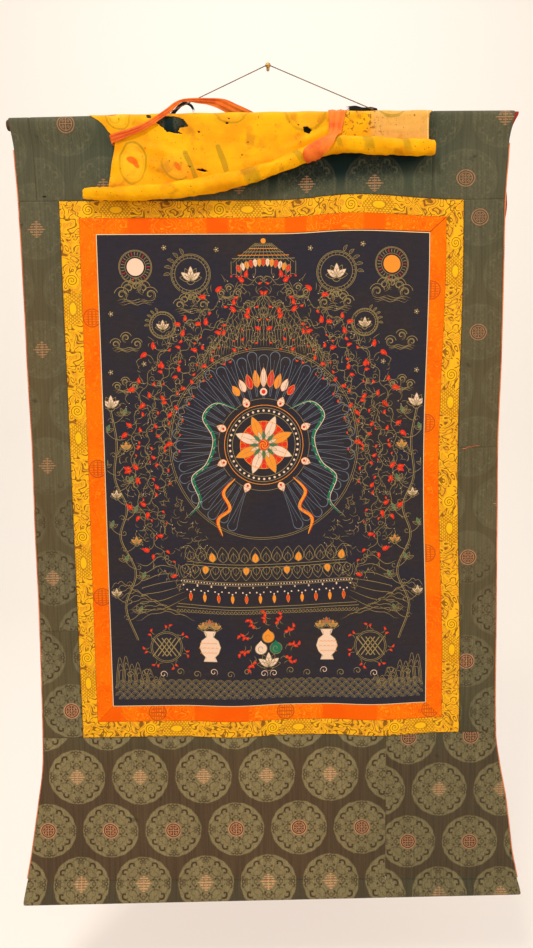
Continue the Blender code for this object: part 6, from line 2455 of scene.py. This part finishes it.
    def vines(self, brush: Brush) -> None:
        """Vine scrolls with red buds in four rings, with fine sprays between them, open at the foot."""
        chance = brush.chance
        for row, count in enumerate((19, 18, 15, 11)):
            share = 1.0 - 0.108 * row
            last = 2.42 - 0.28 * row
            size = 0.0128 - 0.001 * row
            wave = [self.around(share + 0.016 * sin(0.9 * k + row), last * k / 120) for k in range(121)]
            brush.line(wave, width=0.0008)
            for k in range(count):
                turn = last * (k + 0.5) / count + chance.uniform(-0.02, 0.02)
                x, y = self.around(share + chance.uniform(-0.015, 0.015), turn)
                way = 1 if (k + row) % 2 else -1
                out = turn - pi / 2 + chance.uniform(-0.5, 0.5)
                brush.bud(x, y, size * chance.uniform(0.8, 1.2), out, way)
                brush.bud(x, y, size * chance.uniform(0.4, 0.7), out + way * 2.2, -way)
                brush.line(curl(*polar(x, y, size * 0.9, out + way * 1.9), size * 0.5, size * 0.06,
                        out - way * 1.2, way * 1.2), width=0.0008, form=tapered)
        for k in range(560):
            turn = 2.5 * chance.random()
            x, y = self.around(chance.uniform(0.66, 1.1), turn)
            brush.line(sweep(x, y, chance.uniform(0.008, 0.02), turn - pi / 2 + chance.uniform(-1.3, 1.3),
                    chance.uniform(-2.8, 2.8), 7), width=chance.uniform(0.0005, 0.0009), form=tapered)
            if k % 5 == 0:
                brush.dot(x, y, 0.0008, Paint.PINK, True, 1)

    def lotus_throne(self, brush: Brush) -> None:
        """Throne of two rows of petals, a beaded band and swags with tassels."""
        y = self.throne
        for count, reach, high, flip in ((15, 0.15, 0.032, -1), (17, 0.162, 0.028, 1)):
            for k in range(count):
                t = k / (count - 1) - 0.5
                for share in (1.0, 0.62):
                    brush.petal(2 * reach * t, y + 0.004 * flip + 0.005 * (1 - 4 * t * t), high * share,
                            2 * reach / count * 1.06 * share, flip * (pi / 2 - 0.35 * t),
                            Paint.ORANGE if share < 1 and k % 4 == 2 else None, mirror=False)
        for drop, reach in ((-0.003, 0.16), (0.003, 0.163), (0.034, 0.17), (0.04, 0.172), (0.084, 0.18),
                (0.09, 0.184)):
            brush.line([(reach * t / 12, y + drop + 0.008 * (1 - (t / 12) ** 2)) for t in range(13)],
                    width=0.0011)
        for k in range(31):
            brush.dot(0.172 * k / 30, y + 0.037 + 0.008 * (1 - (k / 30) ** 2), 0.0013, Paint.PINK)
        for k in range(6):
            x = 0.014 + 0.028 * k
            top = y + 0.044 + 0.008 * (1 - (x / 0.17) ** 2)
            for n in range(5):
                brush.dot(x - 0.014 + 0.007 * n, top + 0.014 * sin(pi * n / 4), 0.0016, Paint.PINK)
            brush.petal(x, top + 0.016, 0.017, 0.0062, pi / 2, Paint.RED if k % 2 else Paint.ORANGE,
                    Paint.ORANGE)
        for k in range(26):
            x = 0.18 * k / 25
            brush.line(curl(x, y + 0.098 + 0.005 * (1 - (x / 0.18) ** 2), 0.0046, 0.0008, pi, -1.2, 9))
        for low in range(7):
            brush.line(bend([(0.186 - 0.004 * low, y + 0.012 * low), (0.214, y - 0.012 + 0.018 * low),
                    (0.24 + 0.003 * low, y + 0.006 + 0.015 * low), (0.262 - 0.004 * low, y + 0.018 * low)]),
                    width=0.001, form=tapered)

    def sky(self, brush: Brush) -> None:
        """Canopy, sun and moon, haloed blossoms and clouds across the top."""
        for k in range(13):
            t = k / 12 - 0.5
            brush.petal(0.1 * t, 0.046 + 0.05 * t * t, 0.016, 0.009, pi / 2 + 0.6 * t,
                    (Paint.RED, Paint.PINK, Paint.ORANGE)[k % 3], mirror=False)
            brush.line([(0.118 * t, 0.047 + 0.03 * t * t), (0.03 * t, 0.018)], width=0.0008, mirror=False)
        for k in range(5):
            brush.line([((0.06 - 0.011 * k) * u / 10, 0.047 - 0.0062 * k) for u in range(11)],
                    Paint.ORANGE if k % 2 else Paint.GOLD, 0.0012)
        brush.dot(0.0, 0.014, 0.005, Paint.ORANGE, False)
        for k in range(4):
            x = 0.062 - 0.01 * k
            brush.line([(x, 0.052 + 0.005 * n + 0.001 * sin(2 * n)) for n in range(6)])
            brush.dot(x, 0.08, 0.0021, Paint.RED)
        for side, paint in ((1, Paint.ORANGE), (-1, Paint.PINK)):
            x, y = side * 0.246, 0.062
            brush.fill(circle(x, y, 0.0165, 28, 0.1), paint, False, 1)
            for radius in (0.02, 0.03, 0.0318):
                brush.ring(x, y, radius)
            for k in range(28):
                brush.line(sweep(*polar(x, y, 0.0212, pi * k / 14), 0.008, pi * k / 14 - 0.5, 1.0, 4),
                        Paint.RED if k % 4 == 0 else Paint.GOLD, 0.001, tapered, False)
        for x, y, r in ((0.14, 0.076, 0.038), (0.196, 0.172, 0.026)):
            for share in (1.0, 0.94, 0.8):
                brush.ring(x, y, r * share, mirror=True)
            for k in range(28):
                brush.line([polar(x, y, r * q, pi * k / 14 + 0.2 * q) for q in (0.81, 0.87, 0.93)],
                        width=0.0006)
            brush.blossom(x, y + r * 0.3, r * 0.7)
            for k in range(5):
                brush.petal(*polar(x, y, r * 1.04, 0.3 * k - 1.2), r * 0.34, r * 0.14, 0.3 * k - 1.5,
                        turn=0.9)
        for x, y, size, lobes in ((0.246, 0.114, 0.029, 5), (0.14, 0.134, 0.024, 5), (0.268, 0.208, 0.022, 3),
                (0.272, 0.29, 0.018, 3), (0.066, 0.112, 0.017, 3)):
            brush.cloud(x, y, size, lobes)
        for x, y in ((0.09, 0.03), (0.19, 0.026), (0.296, 0.15), (0.234, 0.246), (0.3, 0.262)):
            for k in range(5):
                brush.dot(*polar(x, y, 0.0036, tau * k / 5), 0.0015, Paint.GOLD)
            brush.dot(x, y, 0.0014, Paint.PINK)

    def sides(self, brush: Brush) -> None:
        """Tall lotus stems with leaves up both sides, and low hills behind them."""
        stem = bend([(0.262, 0.8), (0.284, 0.73), (0.262, 0.66), (0.29, 0.59), (0.276, 0.53),
                (0.298, 0.47), (0.292, 0.4), (0.302, 0.335)], 10)
        brush.line(stem, width=0.0013)
        brush.line([(x + 0.003, y) for x, y in stem], width=0.0007)
        for k, (x, y) in enumerate(stem[6:-4:5]):
            way = 1 if k % 2 else -1
            branch = sweep(x, y, 0.026, -pi / 2 + way * 1.3, -way * 0.8)
            brush.line(branch)
            brush.line(curl(x - way * 0.006, y - 0.004, 0.0065, 0.001, 0.0, way * 1.1, 11), form=tapered)
            if k % 3 == 1:
                brush.blossom(*branch[-1], 0.016, Paint.PINK if k % 2 else Paint.ORANGE)
            else:
                for n in range(4):
                    brush.petal(*branch[-1], 0.015, 0.0065, -pi / 2 + 0.8 * (n - 1.5),
                            Paint.GREEN if n == 1 else None)
        brush.blossom(0.302, 0.33, 0.024)
        for k in range(10):
            x, y, reach = 0.296 - 0.01 * k, 0.7 + 0.007 * k, 0.046 + 0.008 * k
            brush.line([(min(x + reach * (t / 12 - 0.5), 0.314), y - 0.018 * cos(pi * (t / 12 - 0.5))
                    - 0.005 * abs(sin(t * 0.9 + k))) for t in range(13)], form=tapered)

    def gems(self, brush: Brush) -> None:
        """Three gems in flames, two vases of blossoms and two endless knots."""
        y = 0.815
        for k in range(44):
            turn = tau * (k % 22) / 22
            if sin(turn) < 0.78:
                reach = 0.042 + 0.013 * (k // 22)
                brush.bud(reach * 0.86 * cos(turn), y + reach * sin(turn) - 0.004, 0.0092, turn - 0.6,
                        1 if k % 2 else -1, False)
        for x, top, paint in ((0.0, -0.02, Paint.ORANGE), (-0.015, 0.004, Paint.PINK),
                (0.015, 0.004, Paint.GREEN)):
            brush.fill([(x, y + top - 0.017), *circle(x, y + top, 0.0115, 16, -1.2)[:14]], paint, False, 2)
            brush.ring(x, y + top, 0.0122, width=0.001)
            brush.line(curl(x, y + top, 0.008, 0.0014, 1.0, 1.0), width=0.001, form=tapered, mirror=False,
                    layer=3)
        brush.blossom(0.0, y + 0.042, 0.03, Paint.PINK, False)
        x = 0.118
        body = [(x + reach, y + drop) for drop, reach in (
            (-0.034, 0.013), (-0.029, 0.0075), (-0.022, 0.007), (-0.014, 0.017), (0.000, 0.0215),
            (0.013, 0.017),
            (0.022, 0.0085), (0.03, 0.014))]
        body += [(2 * x - px, py) for px, py in reversed(body)]
        brush.fill(body, Paint.PINK, True, 1)
        brush.line(body + body[:1], width=0.0011, layer=2)
        for drop, reach in ((-0.01, 0.018), (0.000, 0.0205), (0.01, 0.0175)):
            for k in range(5):
                brush.line(sweep(x + reach * (k / 2 - 1) * 0.8, y + drop + 0.003, 0.008, -1.2, 2.4, 5),
                        Paint.ORANGE,
                        0.0011, tapered, layer=3)
        for k in (-1, 1, 0):
            brush.blossom(x + 0.013 * k, y - 0.038 - 0.006 * (k == 0), 0.015, Paint.ORANGE if k
                    else Paint.RED)
        for k in range(4):
            for flip in (1, -1):
                foot = (0.206 + (k - 1.5) * 0.0095 - 0.014 * flip, y - 0.019)
                brush.line([foot, (foot[0] + 0.028 * flip, y + 0.019)], width=0.002)
        for radius in (0.029, 0.032):
            brush.ring(0.206, y, radius, mirror=True)
        for k in range(14):
            brush.bud(*polar(0.206, y, 0.035, pi * k / 7), 0.0072, pi * k / 7 - 0.4, 1 if k % 2 else -1)

    def shore(self, brush: Brush) -> None:
        """Rocks and waves along the foot."""
        for k in range(8):
            x, high = 0.312 - 0.012 * k, 0.07 - 0.007 * k + 0.01 * (k % 2)
            for n in range(3):
                brush.line(bend([(x - 0.002 * n, 0.905),
                        (x - 0.004 - 0.002 * n, 0.905 - high * (0.6 - 0.1 * n)),
                        (x - 0.01, 0.905 - high * (1 - 0.2 * n)), (x - 0.018, 0.905 - high * 0.6)], 4),
                        form=tapered)
        for k in range(95):
            x, row = 0.0165 * (k % 19 + 0.5 * (k // 19 % 2)), k // 19
            for r in (0.0088, 0.0064, 0.0038):
                brush.line(curl(min(x, 0.304), 0.892 + 0.008 * row, r, r, pi, 0.5, 8),
                        Paint.BLUE if r < 0.005 else Paint.GOLD, 0.0007)
        for k in range(9):
            brush.line(curl(0.034 * k + 0.01, 0.872 - 0.005 * (k % 2), 0.0085, 0.0012, 2.4, 1.3),
                    Paint.GOLD if k % 3 else Paint.PINK, 0.0012, tapered)


@dataclass(frozen=True)
class Studio:
    """Camera at the photo's angle, plain floor and backdrop, soft lights."""

    lens: float = 27.04
    camera_at: Triple = (-0.014, -1.4185, -0.619)
    tilt: float = 84.0
    roll: float = -0.85
    floor: float = -1.95
    wall: float = 4.2
    top: float = 3.6
    reach: float = 8.0
    bend: float = 1.1
    bend_steps: int = 24
    colour: Triple = (250, 246, 241)
    lamps: tuple[tuple[str, Triple, Triple, float, float], ...] = (
        ("key", (-0.9, -2.3, 1.75), (0.0, 0.0, -0.8), 0.8, 56.0),
        ("fill", (1.7, -2.4, -0.2), (0.0, 0.0, -0.9), 1.8, 14.0),
        ("backdrop light", (0.0, 1.0, 2.6), (0.0, 3.9, -1.2), 4.0, 64.0),
    )

    def build(self) -> None:
        """Build the camera, the backdrop and the lights."""
        scene = bpy.context.scene
        scene.view_settings.view_transform = "Standard"
        data = bpy.data.cameras.new("camera")
        data.sensor_width = 36.0
        data.lens = self.lens
        data.clip_start = 0.05
        camera = bpy.data.objects.new("camera", data)
        scene.collection.objects.link(camera)
        turn = Matrix.Rotation(radians(self.tilt), 4, "X") @ Matrix.Rotation(radians(self.roll), 4, "Z")
        camera.matrix_world = Matrix.Translation(self.camera_at) @ turn
        scene.camera = camera
        self.backdrop()
        self.lights()

    def backdrop(self) -> None:
        """Build one sheet that is floor and backdrop."""
        made = PieceMesh("backdrop")
        profile = [(-self.reach, self.floor)]
        for k in range(self.bend_steps + 1):
            turn = pi / 2 * k / self.bend_steps
            profile.append((self.wall - self.bend + self.bend * sin(turn),
                    self.floor + self.bend * (1 - cos(turn))))
        profile.append((self.wall, self.top))
        made.rows([[Vector((x, y, z)) for x in (-self.reach, self.reach)] for y, z in profile],
                [[(0.0, 0.0)] * 2 for _ in profile])
        sheet = made.build(Graph("backdrop").finish(seen(*self.colour), 0.9))

    def lights(self) -> None:
        """Add the soft lights and the even light of the room."""
        world = bpy.data.worlds.new("room")
        world.use_nodes = True
        background = world.node_tree.nodes["Background"]
        background.inputs["Color"].default_value = (1.0, 0.93, 0.86, 1.0)
        background.inputs["Strength"].default_value = 0.67
        bpy.context.scene.world = world
        for name, at, aim, size, power in self.lamps:
            data = bpy.data.lights.new(name, "AREA")
            data.size = size
            data.energy = power
            data.color = (1.0, 0.94, 0.86)
            lamp = bpy.data.objects.new(name, data)
            lamp.location = at
            lamp.rotation_euler = (Vector(aim) - lamp.location).to_track_quat("-Z", "Y").to_euler()
            bpy.context.scene.collection.objects.link(lamp)


def main() -> None:
    """Build the camera, then every piece."""
    logging.basicConfig(level=logging.INFO, format="%(message)s")
    Studio().build()
    finishes = {f.slot: f.material() for f in (
        Brocade(),
        CottonLining(),
        Fibre(Slot.BINDING, (226, 134, 84), (186, 96, 56)),
        CoverSilk(),
        Fibre(Slot.RIBBON, (242, 122, 34), (212, 86, 18), 0.5),
        Fibre(Slot.TIE, (30, 28, 26), (44, 38, 34), 0.85),
        Fibre(Slot.CORD, (128, 96, 68), (86, 62, 44), 0.85),
        Timber(),
        Brass(),
    )}
    HangingCord().build(finishes[Slot.CORD])
    WallNail().build(finishes[Slot.BRASS])
    mount = Mount()
    mount.build(finishes[Slot.BROCADE])
    Borders().build()
    Stitching().build(finishes[Slot.TIE], finishes[Slot.BINDING])
    Picture().build()
    Lining().build(mount, finishes[Slot.LINING])
    Binding().build(finishes[Slot.BINDING])
    Rods().build(finishes[Slot.WOOD])
    cover = DustCover()
    cover.build(finishes[Slot.SILK])
    Ribbons().build(cover, finishes[Slot.RIBBON])
    Ties().build(finishes[Slot.TIE])


if __name__ == "__main__":
    main()
